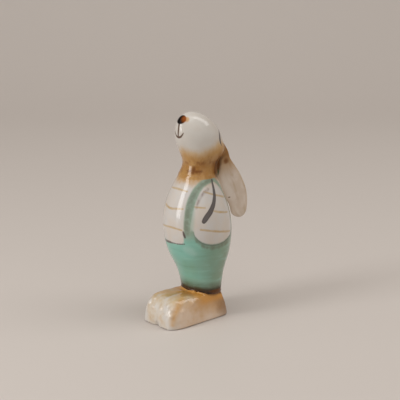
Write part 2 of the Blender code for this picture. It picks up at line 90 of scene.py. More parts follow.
def through(stations, column, where, end_slope=None):
    """Smooth cubic through one column of the stations, at many places along the first."""
    at = np.array([station[0] for station in stations])
    value = np.array([station[column] for station in stations])
    gap = np.diff(at)
    chord = np.diff(value) / gap
    slope = np.empty(len(at))
    slope[0] = chord[0]
    slope[-1] = chord[-1] if end_slope is None else end_slope
    slope[1:-1] = (chord[:-1] * gap[1:] + chord[1:] * gap[:-1]) / (gap[:-1] + gap[1:])
    where = np.asarray(where, dtype=float)
    i = np.clip(np.searchsorted(at, where, side="right") - 1, 0, len(gap) - 1)
    span = gap[i]
    t = (where - at[i]) / span
    return ((2 * t ** 3 - 3 * t ** 2 + 1) * value[i] + (t ** 3 - 2 * t ** 2 + t) * span * slope[i]
            + (3 * t ** 2 - 2 * t ** 3) * value[i + 1] + (t ** 3 - t ** 2) * span * slope[i + 1])


def body_point(turn, height, inset=0.0):
    """Points of the torso's skin, turn 0 in front and positive to the hare's left."""
    across = (through(BODY_STATIONS, WIDE, height) - inset) * np.sin(turn)
    half_depth = through(BODY_STATIONS, DEEP, height) - inset
    back = through(BODY_STATIONS, SHIFT, height) - half_depth * np.cos(turn)
    slope = CUFF_SLOPE * (1.0 - eased((np.asarray(height) - CUFF_Z) / (CALF_Z - CUFF_Z)))
    return np.stack([across, back + ANKLE_Y, height - slope * back], axis=-1)


def new_object(name, data):
    """Put new data into the scene as an object, neither moved nor turned."""
    made = bpy.data.objects.new(name, data)
    bpy.context.scene.collection.objects.link(made)
    return made


def face_outward(mesh):
    """Turn the faces of a closed mesh to look outward."""
    work = bmesh.new()
    work.from_mesh(mesh)
    bmesh.ops.recalc_face_normals(work, faces=work.faces)
    work.to_mesh(mesh)
    work.free()


def turned_skin(name, rows, poles=(None, None)):
    """A closed mesh through rows of points that go round it, shut by a pole or by a wrap."""
    rows = [np.asarray(row) for row in rows]
    count = len(rows[0])
    points = [tuple(point) for row in rows for point in row]
    faces = []
    ahead = np.roll(np.arange(count), -1)
    pairs = [(i, i + 1) for i in range(len(rows) - 1)]
    if poles[0] is None and poles[1] is None:
        pairs.append((len(rows) - 1, 0))
    for low, high in pairs:
        a, b = low * count, high * count
        faces += [(a + i, a + j, b + j, b + i) for i, j in enumerate(ahead)]
    for pole, row in zip(poles, (0, len(rows) - 1)):
        if pole is not None:
            points.append(tuple(pole))
            base = row * count
            faces += [(base + i, base + j, len(points) - 1) for i, j in enumerate(ahead)]
    mesh = bpy.data.meshes.new(name)
    mesh.from_pydata(points, [], faces)
    face_outward(mesh)
    mesh.shade_smooth()
    mesh.set_sharp_from_angle(angle=SHARP_ANGLE)
    return new_object(name, mesh)


def corners(piece):
    """A piece's points as rows of x, y and z."""
    flat = np.empty(3 * len(piece.data.vertices))
    piece.data.vertices.foreach_get("co", flat)
    return flat.reshape(-1, 3)


def note(piece, name, values):
    """Keep one number for each point of a piece, for its paint to read."""
    kept_values = piece.data.attributes.new(name, "FLOAT", "POINT")
    kept_values.data.foreach_set("value", np.asarray(values, np.float32))


def brush_line(skin, stops, steps):
    """A brush line on a skin, from stops of (turn in degrees, height in mm, half width in mm)."""
    stops = np.array(stops, dtype=float)
    rows = [(i, *stop) for i, stop in enumerate(stops)]
    where = np.linspace(0, len(stops) - 1, steps * (len(stops) - 1) + 1)
    turn, height, half = (through(rows, column, where) for column in (1, 2, 3))
    return skin(np.radians(turn), 0.001 * height), np.maximum(half, 0.05)


def paint_gap(points, lines):
    """How far in mm each point lies outside the nearest brush line, negative on it."""
    nearest = np.full(len(points), FAR_OFF)
    for path, half in lines:
        for a, b, wa, wb in zip(path[:-1], path[1:], half[:-1], half[1:]):
            run = b - a
            share = np.clip((points - a) @ run / max(run @ run, 1e-12), 0.0, 1.0)
            away = 1000.0 * np.linalg.norm(points - (a + share[:, None] * run), axis=1)
            nearest = np.minimum(nearest, away - (wa + share * (wb - wa)))
    return nearest


def both_sides(stops, drift=(0.0, 0.0)):
    """The same line on both sides, the far one a little off, as a hand repeats it."""
    return [stops, [(-turn + drift[0], height + drift[1], half) for turn, height, half in stops]]


def note_lines(piece, mark, skin, lines, steps):
    """Note how far each point of a piece lies outside brush lines on its skin."""
    note(piece, mark, paint_gap(corners(piece), [brush_line(skin, line, steps) for line in lines]))


def side_turn(points):
    """How far round from the front points lie, in degrees, the same on either side."""
    return np.abs(np.degrees(np.arctan2(points[:, 0], ANKLE_Y - points[:, 1])))


def ring(skin, height, inset=0.0):
    """A row of points all round a skin at one height."""
    return skin(turns, np.full(AROUND, height), inset)


turns = 2.0 * np.pi * np.arange(AROUND) / AROUND
heights = CUFF_Z + (COLLAR_Z - CUFF_Z) * np.linspace(0.0, 1.0, TORSO_ROWS)
heights = np.append(heights, COLLAR_Z + SEAM_LAP)
outer = [ring(body_point, height) for height in heights]
inner = [ring(body_point, height, WALL) for height in (*heights[::-INSIDE_SKIP], heights[0])]
torso = turned_skin("torso_glazed", outer + inner)

STRIPES = [
    [(-33, 81.2, 0.4), (-14, 81.9, 0.5), (6, 82.1, 0.55), (27, 81.6, 0.35)],
    [(-30, 71.6, 0.45), (-7, 70.7, 0.6), (9, 71.3, 0.5), (24, 71.8, 0.35)],
    [(-34, 58.2, 0.4), (-5, 59.6, 0.55), (10, 59.6, 0.5), (23, 59.1, 0.35)],
]
for side_stripe, drift in (
    ([(66, 81.6, 0.3), (81, 80.1, 0.4), (103, 77.9, 0.45), (126, 75.6, 0.6)], (3.0, -0.5)),
    ([(42, 73.4, 0.4), (54, 73.0, 0.45), (66, 72.5, 0.35)], (-2.0, 0.4)),
    ([(78, 70.6, 0.3), (87, 69.6, 0.5), (98, 68.5, 0.55), (118, 66.9, 0.45)], (-2.0, 0.4)),
    ([(55, 59.9, 0.4), (67, 59.1, 0.5), (92, 57.0, 0.55), (118, 54.9, 0.5)], (2.0, 0.6)),
):
    STRIPES += both_sides(side_stripe, drift)
STRIPES += [
    [(146, 73.6, 0.4), (170, 73.0, 0.55), (192, 73.3, 0.5), (213, 74.2, 0.35)],
    [(144, 63.4, 0.4), (168, 62.6, 0.55), (190, 62.9, 0.55), (216, 63.6, 0.4)],
    [(147, 54.6, 0.35), (172, 54.0, 0.55), (195, 54.3, 0.5), (214, 54.9, 0.35)],
]
BRACE = [(32, 50, 2.3), (32.2, 55, 2.1), (32.6, 60, 2.05), (33.5, 65, 2.15), (35.4, 70.3, 2.35),
         (37.9, 74.3, 2.5), (41.2, 77.6, 2.45), (45.6, 80.4, 2.35), (50.5, 82.8, 2.2), (57, 84.7, 2),
         (65, 86, 1.85), (76, 86.9, 1.75), (88, 87.2, 1.6), (100, 86.9, 1.3), (113, 84.9, 1.3),
         (125, 81.8, 1.6), (134, 77.5, 1.8), (136, 72.5, 1.9), (134.5, 67, 1.9), (132, 61, 2),
         (130.5, 55, 2.2), (130, 50, 2.4)]
BRACE_WASH = [(40.3, 56.5, 0.9), (40.3, 61, 1.2), (41.2, 65, 1.2), (42.6, 69, 0.9), (44.5, 73, 0.5)]
BRACE_SHADE = [(31, 57, 1.2), (31.5, 63, 1.2), (33, 69, 1.2), (35.5, 74, 1.1), (41, 78.5, 0.9),
               (52, 83.4, 0.8), (66, 85.9, 0.8), (80, 87, 0.8), (92, 87.2, 0.9)]
SLEEVE_LINE = [(92.3, 87.3, 0.5), (93.5, 84, 0.78), (93.5, 81.6, 0.95), (92.5, 78.9, 1.1), (88.9, 76.2, 1.2),
               (84.7, 74, 1.32), (80.1, 72, 1.45), (74.8, 69.9, 1.6), (69, 67.9, 1.65), (64.4, 66.1, 1.6),
               (61.6, 64.8, 1.3)]
ARM_SHADE = [(77, 82.6, 0.5), (71.6, 81.6, 0.75), (64.8, 80.5, 0.6), (58.2, 78.6, 0.55), (53.2, 76, 0.45),
             (49, 72.5, 0.25)]
WAIST_LINE = [(-40, 48.7, 0.35), (-28, 48.9, 0.7), (-16, 49.3, 0.8), (-6, 49.6, 0.65), (4, 49.7, 0.3),
              (16, 49.9, 0.25), (26, 50.4, 0.35)]
BRACE_MARK = [(25.6, 58.2, 0.35), (26.6, 56.6, 0.6), (28.2, 54.8, 0.45)]
PALE_PATCH = [(26, 47.6, 0.8), (33, 46.4, 1.8), (41, 44.4, 1)]
# the trousers' top edge, round from the front to the back
WAIST_RISE = [(0, 49.5), (16, 49.8), (26, 50.6), (31, 55), (35, 59), (38.4, 59), (40.3, 56.1), (44.9, 53.9),
              (51.1, 51.9), (59.3, 50.7), (69.7, 49.9), (81, 49.8), (94, 50.4), (108, 51.8), (117, 53.2),
              (124, 56), (131, 58), (138, 51.5), (150, 49.8), (180, 49.4)]

note_lines(torso, "stripe_gap", body_point, STRIPES, 5)
for mark, line in (("brace_gap", BRACE), ("wash_gap", BRACE_WASH), ("deep_gap", BRACE_SHADE)):
    note_lines(torso, mark, body_point, both_sides(line, FAR_BRACE_DRIFT), 4)
note_lines(torso, "sleeve_gap", body_point, both_sides(SLEEVE_LINE, (1.5, -0.4)), 4)
note_lines(torso, "shade_gap", body_point, both_sides(ARM_SHADE, (-1.0, 0.5)), 4)
note_lines(torso, "patch_gap", body_point, [PALE_PATCH], 8)
note_lines(torso, "waist_gap", body_point, [WAIST_LINE, BRACE_MARK], 4)
place = corners(torso)
turned = side_turn(place)
note(torso, "waist_drop", 1000.0 * place[:, 2] - np.interp(turned, *zip(*WAIST_RISE)))
note(torso, "side_turn", turned)
note(torso, "armhole", eased((turned - ARMHOLE_TURNS[0]) / ARMHOLE_EDGE)
     * eased((ARMHOLE_TURNS[1] - turned) / ARMHOLE_EDGE))
note(torso, "cuff_rise", 1000.0 * (place[:, 2] + CUFF_SLOPE * (place[:, 1] - ANKLE_Y) - CUFF_Z))


class Glaze:
    """One socket of a glaze's nodes. Sums and products on it add Math nodes."""

    def __init__(self, tree, socket=None):
        self.tree = tree
        self.socket = socket

    def node(self, kind, settings, inputs, output=0):
        """Add a node: its settings first, then the values or links of its sockets."""
        made = self.tree.nodes.new(kind)
        for name, value in settings.items():
            if name == "stops":
                while len(made.color_ramp.elements) < len(value):
                    made.color_ramp.elements.new(1.0)
                for element, (position, colour) in zip(made.color_ramp.elements, value):
                    element.position = position
                    element.color = (*colour, 1.0)
            else:
                setattr(made, name, value)
        for name, value in inputs.items():
            if isinstance(value, Glaze):
                self.tree.links.new(value.socket, made.inputs[name])
            else:
                made.inputs[name].default_value = value
        return Glaze(self.tree, made.outputs[output] if made.outputs else None)

    def math(self, operation, *values):
        return self.node("ShaderNodeMath", {"operation": operation}, dict(enumerate(values)))

    def __add__(self, other):
        return self.math("ADD", self, other)

    __radd__ = __add__

    def __sub__(self, other):
        return self.math("SUBTRACT", self, other)

    def __rsub__(self, other):
        return self.math("SUBTRACT", other, self)

    def __mul__(self, other):
        return self.math("MULTIPLY", self, other)

    __rmul__ = __mul__

    def ease(self, low, high):
        """0 below low, 1 above high, and smooth between."""
        return self.node("ShaderNodeMapRange", {"interpolation_type": "SMOOTHSTEP"},
                         {"Value": self, "From Min": low, "From Max": high})

    def sway(self, amount):
        """Variation from 0 to 1 as a shift either way, with this amount from end to end."""
        return (self - 0.5) * amount

    def size(self):
        return self.math("ABSOLUTE", self)

    def least(self, other):
        return self.math("MINIMUM", self, other)

    def most(self, other):
        return self.math("MAXIMUM", self, other)

    def over(self, under, colour):
        """This mask lays a colour over the one under it."""
        under = under if isinstance(under, Glaze) else (*under, 1.0)
        colour = colour if isinstance(colour, Glaze) else (*colour, 1.0)
        return self.node("ShaderNodeMix", {"data_type": "RGBA"}, {0: self, 6: under, 7: colour}, 2)


def start_glaze(name):
    """A new material with no nodes yet, and the object's own coordinates to paint by."""
    material = bpy.data.materials.new(name)
    material.use_nodes = True
    material.node_tree.nodes.clear()
    tree = Glaze(material.node_tree)
    return material, tree, tree.node("ShaderNodeTexCoord", {}, {}, "Object")


def mottle(where, size_mm, detail=3.0, stretch=(1.0, 1.0, 1.0), offset=0.0):
    """Cloudy variation, about size_mm across, from 0 to 1."""
    spread = where.node("ShaderNodeVectorMath", {"operation": "MULTIPLY_ADD"},
                        {0: where, 1: tuple(1000.0 / size_mm * share for share in stretch),
                         2: (offset, offset, offset)})
    return where.node("ShaderNodeTexNoise", {}, {"Vector": spread, "Scale": 1.0, "Detail": detail})


def axis_mm(where, axis):
    """One of the object's own coordinates in mm."""
    return where.node("ShaderNodeSeparateXYZ", {}, {"Vector": where}, axis) * 1000.0


def kept(where, name):
    """A number that the piece keeps for each of its points."""
    return where.node("ShaderNodeAttribute", {"attribute_name": name}, {}, "Fac")


def painted(ground, *layers):
    """Lay colours over a ground one after another, each with its own mask."""
    for mask, colour in layers:
        ground = mask.over(ground, colour)
    return ground


def fire(material, tree, where, colour, relief=0.0, uneven=0.22, coat=1.0):
    """Finish a glaze: painted body colour under a clear coat, thinner where the paint is dark."""
    swell = mottle(where, 8, 0) * 0.35 + relief
    light = tree.node("ShaderNodeRGBToBW", {}, {"Color": colour})
    coat = coat * (light.ease(0, 0.22) * 0.5 + 0.5)
    bump = tree.node("ShaderNodeBump", {}, {"Strength": uneven, "Distance": 0.0006, "Height": swell})
    skin = tree.node("ShaderNodeBsdfPrincipled", {}, {
        "Base Color": colour, "Roughness": 0.34, "Specular IOR Level": 0.08, "Coat Weight": coat,
        "Coat Roughness": 0.05, "Coat IOR": 1.5, "Normal": bump})
    tree.node("ShaderNodeOutputMaterial", {}, {"Surface": skin})
    return material


# fur and neck, on head, collar and neck seam
FUR_WHITE = (0.6, 0.565, 0.515)
FUR_WARM = (0.57, 0.515, 0.455)
FUR_FADE = (0.54, 0.385, 0.225)
HONEY = (0.45, 0.245, 0.072)
BROWN = (0.27, 0.105, 0.012)
DARK_BROWN = (0.13, 0.032, 0.002)
SMEAR_BROWN = (0.17, 0.045, 0.002)
COLLAR_TAN = (0.53, 0.32, 0.135)
ROOT_BROWN = (0.15, 0.045, 0.003)
# painted shade for the crease right by the ears
CREASE_SHADE_BROWN = (0.105, 0.031, 0.001)
CREASE_SHADE_OLIVE = (0.09, 0.06, 0.016)


def fur_colour(where, drop=None):
    """Honey and brown glaze at the neck, below fur that is left white above a soft edge."""
    height = axis_mm(where, "Z")
    cloud = mottle(where, 6, 3, (1, 1, 0.5), 3)
    runs = mottle(where, 2, 3, (1, 1, 0.3), 14)
    tone = HONEY
    if drop is not None:
        white = mottle(where, 12, 2, offset=5).ease(0.3, 0.7).over(FUR_WHITE, FUR_WARM)
        level = drop + cloud.sway(3.4) + runs.sway(2.2)
        tone = level.ease(0.2, -5).over(level.ease(3.4, -2.4).over(white, FUR_FADE), HONEY)
    level = height + runs.sway(8)
    neck = level.ease(102.5, 96.5) * level.ease(85, 95.5)
    smear = mottle(where, 3.6, 3, (1, 1, 0.8), 51).ease(0.5, 0.72)
    pool = mottle(where, 3.2, 2, (1, 1, 0.7), 12).ease(0.56, 0.74)
    tone = painted(
        tone,
        (neck * cloud.ease(0.25, 0.68) * 0.8, BROWN),
        (level.ease(91.5, 86) * 0.5, COLLAR_TAN),
        ((height + runs.sway(5) - 98.0).size().ease(4, 0.8) * smear * 0.6, SMEAR_BROWN),
        (pool * (height - 93.0).size().ease(3, 0.5) * 0.6, DARK_BROWN),
    )
    return tone, height, runs


def root_brown(where, tone, height):
    """Brown glaze that has gathered round the ears' roots and run down to the collar, and painted shade in
    the crease right by the ears.
    """
    gap = kept(where, "ear_gap") + mottle(where, 3, 3).sway(3)
    # painted shade in the crease by the ears, over pooled glaze: olive low down where the braces pass, brown
    # above
    dark = height.ease(86, 92).over(CREASE_SHADE_OLIVE, CREASE_SHADE_BROWN)
    tone = painted(
        tone,
        (gap.ease(5.5, 0.6) * height.ease(109, 104) * height.ease(83, 93) * 0.6, BROWN),
        (gap.ease(5, 1) * height.ease(99.5, 95.5) * height.ease(84, 92) * 0.45, ROOT_BROWN),
        (gap.ease(2.3, 0.2) * height.ease(102.5, 97.5) * height.ease(82, 89) * 0.9, dark),
    )
    return tone, gap


CREAM = (0.585, 0.555, 0.525)
CREAM_WARM = (0.6, 0.53, 0.46)
COLLAR_FADE = (0.5, 0.31, 0.145)
OCHRE_LINE = (0.47, 0.31, 0.12)
PLUM = (0.19, 0.125, 0.105)
WAIST_PLUM = (0.075, 0.04, 0.038)
SLATE = (0.06, 0.047, 0.045)
SLATE_THIN = (0.13, 0.115, 0.11)
MINT = (0.19, 0.46, 0.37)
MINT_GREY_AND_SHADE = (0.195, 0.295, 0.195)
MINT_WASH = (0.27, 0.45, 0.375)
MINT_LIGHT = (0.26, 0.52, 0.42)
MINT_DEEP = (0.13, 0.29, 0.2)
MINT_PATCH = (0.36, 0.54, 0.48)
BRACE_GREEN = (0.245, 0.325, 0.245)
BRACE_PALE = (0.34, 0.46, 0.38)
BRACE_DARK = (0.15, 0.19, 0.15)
OLIVE = (0.105, 0.115, 0.07)
HEM_OLIVE = (0.115, 0.115, 0.065)
RIM_GREEN = (0.07, 0.095, 0.065)
CUFF_HALO = (0.26, 0.42, 0.32)
CUFF_OLIVE = (0.105, 0.115, 0.066)
CUFF_DARK_AND_SHADE = (0.064, 0.044, 0.025)
CUFF_BROWN = (0.13, 0.046, 0.009)

glazed_torso, tree, where = start_glaze("torso_paint")
wander = mottle(where, 2.4, 3).sway(0.55)
cloud = mottle(where, 9, 3, (1, 1, 0.7), 21)
streaks = mottle(where, 2.6, 3, (0.3, 0.3, 1.6), 31)
blotch = mottle(where, 2.8, 2, offset=41)
strokes = mottle(where, 3.6, 3, (0.28, 0.28, 1.4), 37)
turned = kept(where, "side_turn")
fur, height, runs = fur_colour(where)
# the shirt
collar = height + runs.sway(5)
thin = 0.35 + 0.65 * mottle(where, 4, 2, offset=2)
shade = (kept(where, "shade_gap") + wander + blotch.sway(0.8)).ease(1, -0.5)
cloth = painted(
    cloud.ease(0.35, 0.7).over(CREAM, CREAM_WARM),
    ((kept(where, "stripe_gap") + wander).ease(0.45, -0.25) * thin, OCHRE_LINE),
    (collar.ease(82, 87.5) * 0.6, COLLAR_FADE),
    (collar.ease(85, 89), fur),
    ((kept(where, "wash_gap") + wander).ease(1.3, -1) * 0.45, MINT_WASH),
    (shade * (0.3 + 0.5 * blotch.ease(0.35, 0.6)) * 0.8, PLUM),
)
# the dungarees, whose trousers and braces run into each other with round corners
brace = kept(where, "brace_gap")
waist = kept(where, "waist_drop")
armhole = kept(where, "armhole")
near = (2.4 - (brace - waist).size()).most(0.0)
edge = brace.least(waist) - near * near * 0.1 + wander * 0.9
low = (height + cloud.sway(4)).ease(59, 50)
high = 1.0 - low
# greyer and darker round the sides and back: partly a greyer glaze, partly painted shade on the sides turned
# from the light
side_grey_and_shade = (turned + cloud.sway(50)).ease(8, 112) * 0.9
hem = (waist + 1.8 + wander * 2.5 + blotch.sway(2.2)).size().ease(2.8, 0.4) * armhole
dungarees = painted(
    low.over(BRACE_GREEN, side_grey_and_shade.over(MINT, MINT_GREY_AND_SHADE)),
    (strokes.ease(0.48, 0.72) * low * 0.42, MINT_LIGHT),
    (strokes.ease(0.45, 0.25) * low * 0.32, MINT_DEEP),
    ((kept(where, "patch_gap") + cloud.sway(4)).ease(2.2, -1.2) * 0.4, MINT_PATCH),
    ((kept(where, "deep_gap") + wander).ease(1.2, -0.8) * high * 0.5, OLIVE),
    (blotch.ease(0.45, 0.68) * high * 0.35, BRACE_PALE),
    (cloud.ease(0.52, 0.3) * high * 0.3, BRACE_DARK),
    (hem * (0.35 + 0.35 * blotch.ease(0.3, 0.7)), HEM_OLIVE),
    ((waist + 0.5 + wander).size().ease(0.9, 0.1) * armhole * 0.6, RIM_GREEN),
)
# the brush lines over both, and the darker cuff, whose bottom edge is partly dark glaze and partly painted
# shade of the joint
stroke = kept(where, "sleeve_gap")
sleeve = (stroke + wander * 0.6).ease(0.3, -0.25) * 0.93
worn = (stroke.ease(-0.2, -0.9) * 0.45).most(height.ease(71, 80) * 0.5)
line = (kept(where, "waist_gap") + wander * 1.3).ease(0.45, -0.3)
cuff = kept(where, "cuff_rise") + streaks.sway(1.6)
ragged = cuff + blotch.sway(1.4)
# the cuff's bottom edge: dark glaze with painted shade of the joint below it, reaching a little higher round
# the back
dark = (ragged - turned.ease(70, 110) * 0.8).ease(3.2, 0.9)
brown = (ragged - turned.ease(64, 104) * 1.2).ease(0.5, -0.4)
cloth = painted(
    cloth,
    (edge.ease(0.8, -0.6) * 0.94, dungarees),
    (sleeve, worn.over(SLATE, SLATE_THIN)),
    (line * (0.45 + 0.45 * blotch.ease(0.3, 0.6)), WAIST_PLUM),
    ((cuff - 7.0).size().ease(2, 0.2) * 0.4, CUFF_HALO),
    (cuff.ease(8.2, 2) * (0.6 + 0.35 * streaks.ease(0.35, 0.6)), CUFF_OLIVE),
    (dark * (0.7 + 0.3 * blotch.ease(0.3, 0.6)), CUFF_DARK_AND_SHADE),
    (brown * turned.ease(56, 80), CUFF_BROWN),
)
cloth = root_brown(where, cloth, height)[0]
torso.data.materials.append(fire(glazed_torso, tree, where, cloth, sleeve * 0.2, 0.075,
                                 1.0 - dark * 0.6 - sleeve * 0.3))
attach(torso, "root")
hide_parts("torso_casting")


# Head and neck, one hollow casting with the muzzle raised and a small round nose.
# The fur is left white above and runs into brown glaze at the neck. Nose, mouth
# and closed eyes are brushed on.
CHEEK_Z = 0.11041
CROWN_Z = 0.1273
CHEEK = (CHEEK_Z, 0.0129, 0.0146, -0.0016)
# the head's skin goes on from the torso's last three stations
HEAD_STATIONS = BODY_STATIONS[-3:] + ((0.1031, 0.013, 0.014, 0.0012), CHEEK)
CROWN_RISE = CROWN_Z - CHEEK_Z
MUZZLE_LEAN = 0.34
MUZZLE_TAPER = 0.22
NOSE_Z = CROWN_Z - 0.0032
NOSE_RISE = 0.0009
NOSE_RADIUS = 0.003
NOSE_POINTING = np.array([0.0, -1.0, 0.4])
NOSE_PAINT_AT = (0.0002, ANKLE_Y - 0.015, 0.124)
NOSE_PAINT_SIZE = (0.0034, 0.0032, 0.003)
GLOW_SHIFT = (0.0031, 0.0014, 0.0004)
GLOW_SIZE = 0.0018
LOW_HEAD_ROWS = 90
HIGH_HEAD_ROWS = 91
HEAD_INSIDE_ROWS = 16


def head_oval(height, inset=0.0):
    """The head's half width, half depth, shift and taper at many heights."""
    height = np.asarray(height, dtype=float)
    low = np.minimum(height, CHEEK_Z)
    share = np.clip((height - CHEEK_Z) / (CROWN_RISE - inset), 0.0, 1.0)
    round_off = np.where(height > CHEEK_Z, np.sqrt(np.maximum(1.0 - share ** 2, 0.0)), 1.0)
    half_width = (through(HEAD_STATIONS, WIDE, low, 0.0) - inset) * round_off
    half_depth = (through(HEAD_STATIONS, DEEP, low, 0.0) - inset) * round_off
    shift = through(HEAD_STATIONS, SHIFT, low, -MUZZLE_LEAN)
    shift = shift - MUZZLE_LEAN * share * CROWN_RISE * (height > CHEEK_Z)
    taper = MUZZLE_TAPER * eased((height - NECK_Z) / (CROWN_Z - NECK_Z))
    return half_width, half_depth, shift, taper


nose_share = (NOSE_Z - CHEEK_Z) / CROWN_RISE
NOSE_SEAT = np.array([0.0, CHEEK[SHIFT] - MUZZLE_LEAN * nose_share * CROWN_RISE
                      - CHEEK[DEEP] * math.sqrt(1.0 - nose_share ** 2) + ANKLE_Y, NOSE_Z])


def head_point(turn, height, inset=0.0):
    """Points of the head's skin, with the nose raised on it."""
    half_width, half_depth, shift, taper = head_oval(height, inset)
    across = half_width * np.sin(turn) * (1.0 - taper * np.cos(turn))
    back = shift - half_depth * np.cos(turn) + ANKLE_Y
    points = np.stack([across, back, np.broadcast_to(height, across.shape)], axis=-1)
    lift = NOSE_RISE * np.exp(-(np.linalg.norm(points - NOSE_SEAT, axis=-1) / NOSE_RADIUS) ** 2)
    return points + lift[..., None] * NOSE_POINTING * (inset == 0.0)


low_heights = np.linspace(COLLAR_Z + SEAM_LAP, CHEEK_Z, LOW_HEAD_ROWS)
high_heights = CHEEK_Z + CROWN_RISE * np.sin(np.linspace(0.0, 0.5 * np.pi, HIGH_HEAD_ROWS)[1:-1])
outer = [ring(head_point, height) for height in (*low_heights, *high_heights)]
hollow = [ring(head_point, height, WALL)
          for height in np.linspace(COLLAR_Z + SEAM_LAP, CROWN_Z - WALL - 0.0005, HEAD_INSIDE_ROWS)]
crown_y = CHEEK[SHIFT] - MUZZLE_LEAN * CROWN_RISE + ANKLE_Y
head = turned_skin("head_glazed", hollow[::-1] + outer,
                   ((0.0, crown_y, CROWN_Z - WALL), (0.0, crown_y, CROWN_Z)))

MUZZLE_LINE = [(3, 122.6, 0.7), (2, 120.5, 0.52), (1.5, 118, 0.5), (0.5, 115.6, 0.5), (0, 114, 0.45)]
MOUTH_LINE = [(-21, 116.4, 0.25), (-15, 115, 0.48), (-9, 113.9, 0.58), (0, 113.4, 0.6),
              (9, 114, 0.55), (15, 115, 0.42), (21, 116.5, 0.22)]
EYE_LINE = [(136, 116, 0.3), (129, 114.8, 0.6), (123, 113, 0.85), (119, 111, 0.9),
            (117, 109.2, 0.62), (116, 107, 0.25)]
NECK_POOLS = [
    [(29, 94.9, 0.4), (29, 93.4, 1.1), (29.5, 91.8, 0.6)],
    [(31, 92.9, 0.5), (42, 92.4, 0.5), (55, 92.6, 0.2)],
    [(-78, 93, 0.6), (-88, 92.6, 1)],
    [(176, 93.6, 0.7), (186, 93.2, 0.9)],
]
# the edge of the white fur, round from the chin to the back
FUR_EDGE = [(0, 106.4), (10, 105.2), (22, 104.5), (36, 104.5), (50, 104.9), (64, 105.7), (78, 107),
            (92, 108.6), (106, 109.4), (122, 109.2), (150, 108), (180, 107.2)]
note_lines(head, "mouth_gap", head_point, [MUZZLE_LINE, MOUTH_LINE], 6)
note_lines(head, "eye_gap", head_point, both_sides(EYE_LINE), 6)
note_lines(head, "pool_gap", head_point, NECK_POOLS, 3)
place = corners(head)
note(head, "fur_drop", 1000.0 * place[:, 2] - np.interp(side_turn(place), *zip(*FUR_EDGE)))
from_nose = place - NOSE_PAINT_AT
note(head, "nose_gap", np.linalg.norm(from_nose / NOSE_PAINT_SIZE, axis=1) - 1.0)
note(head, "glow_gap", np.linalg.norm((from_nose - GLOW_SHIFT) / GLOW_SIZE, axis=1) - 1.0)

MOUTH_BROWN = (0.075, 0.026, 0.008)
NOSE_BLACK = (0.003, 0.001, 0.0005)
NOSE_EMBER = (0.25, 0.06, 0.005)
NOSE_GLOW = (0.5, 0.27, 0.09)

glazed_head, tree, where = start_glaze("head_paint")
face, height, _ = fur_colour(where, kept(where, "fur_drop"))
wander = mottle(where, 1.6, 2).sway(0.35)
pool = (kept(where, "pool_gap") + wander * 4.0).ease(1.6, -0.9)
face, root_gap = root_brown(where, (pool * 0.85).over(face, DARK_BROWN), height)
mouth = (kept(where, "mouth_gap") + wander).ease(0.35, -0.2) * 0.92
eye = (kept(where, "eye_gap") + wander).ease(0.3, -0.2) * 0.95
nose = (kept(where, "nose_gap") + wander * 0.2).ease(0.1, -0.12)
glow = kept(where, "glow_gap")
face = painted(
    face,
    (mouth, MOUTH_BROWN),
    (eye, SLATE),
    (glow.ease(0.35, -0.5) * 0.9, NOSE_GLOW),
    (nose, glow.ease(1.25, -0.25).over(NOSE_BLACK, NOSE_EMBER)),
)
head.data.materials.append(fire(glazed_head, tree, where, face, mouth * -0.3 + eye * 0.1, 0.09,
                                1.0 - nose * 0.92 - mouth * 0.5 - root_gap.ease(5, 1.2) * 0.75))
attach(head, "root")
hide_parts("head_casting")


# Slip seams at the neck and the ankle. Soft clay squeezed out of each joint is
# wiped to a low bead all round, and the glaze pools darker in it. One rule makes
# both: a flat oval bead swept along the joint.
HEAD_BASE = 0.0896
NECK_BEAD_SINK = 0.00024
ANKLE_BEAD_SINK = 0.0004
ANKLE_BEAD_DROP = 0.0007
LEAN_STEP = 0.001


def slip_bead_rule():
    """Nodes that sweep a flat oval bead along a closed line of edges."""
    rule = bpy.data.node_groups.new("slip_bead", "GeometryNodeTree")
    for name, kind in (("Joint line", "Geometry"), ("Bead height", "Float"), ("Bead depth", "Float"),
                       ("Points round", "Int"), ("Glaze", "Material")):
        rule.interface.new_socket(name=name, in_out="INPUT", socket_type="NodeSocket" + kind)
    rule.interface.new_socket(name="Bead", in_out="OUTPUT", socket_type="NodeSocketGeometry")
    way_in, way_out, path, upright, lean, leaning, profile, size, shape, sweep, smooth, finish, realise = (
        rule.nodes.new(kind) for kind in (
            "NodeGroupInput", "NodeGroupOutput", "GeometryNodeMeshToCurve", "GeometryNodeSetCurveNormal",
            "GeometryNodeInputNamedAttribute", "GeometryNodeSetCurveTilt", "GeometryNodeCurvePrimitiveCircle",
            "ShaderNodeCombineXYZ", "GeometryNodeTransform", "GeometryNodeCurveToMesh",
            "GeometryNodeSetShadeSmooth", "GeometryNodeSetMaterial", "GeometryNodeRealizeInstances"))
    upright.mode = "Z_UP"
    lean.data_type = "FLOAT"
    lean.inputs["Name"].default_value = "lean"
    profile.inputs["Radius"].default_value = 1.0
    for source, output, target, socket in (
        (way_in, "Joint line", path, "Mesh"), (path, "Curve", upright, "Curve"),
        (upright, "Curve", leaning, "Curve"), (lean, "Attribute", leaning, "Tilt"),
        (way_in, "Points round", profile, "Resolution"), (profile, "Curve", shape, "Geometry"),
        (way_in, "Bead depth", size, "X"), (way_in, "Bead height", size, "Y"),
        (size, "Vector", shape, "Scale"),
        (leaning, "Curve", sweep, "Curve"), (shape, "Geometry", sweep, "Profile Curve"),
        (sweep, "Mesh", smooth, "Geometry"), (smooth, "Geometry", realise, "Geometry"),
        (realise, "Geometry", finish, "Geometry"), (way_in, "Glaze", finish, "Material"),
        (finish, "Geometry", way_out, "Bead"),
    ):
        rule.links.new(source.outputs[output], target.inputs[socket])
    return rule


def plain_mesh(piece):
    """A new mesh of a piece as its modifiers leave it."""
    bpy.context.view_layer.update()
    graph = bpy.context.evaluated_depsgraph_get()
    return bpy.data.meshes.new_from_object(piece.evaluated_get(graph))


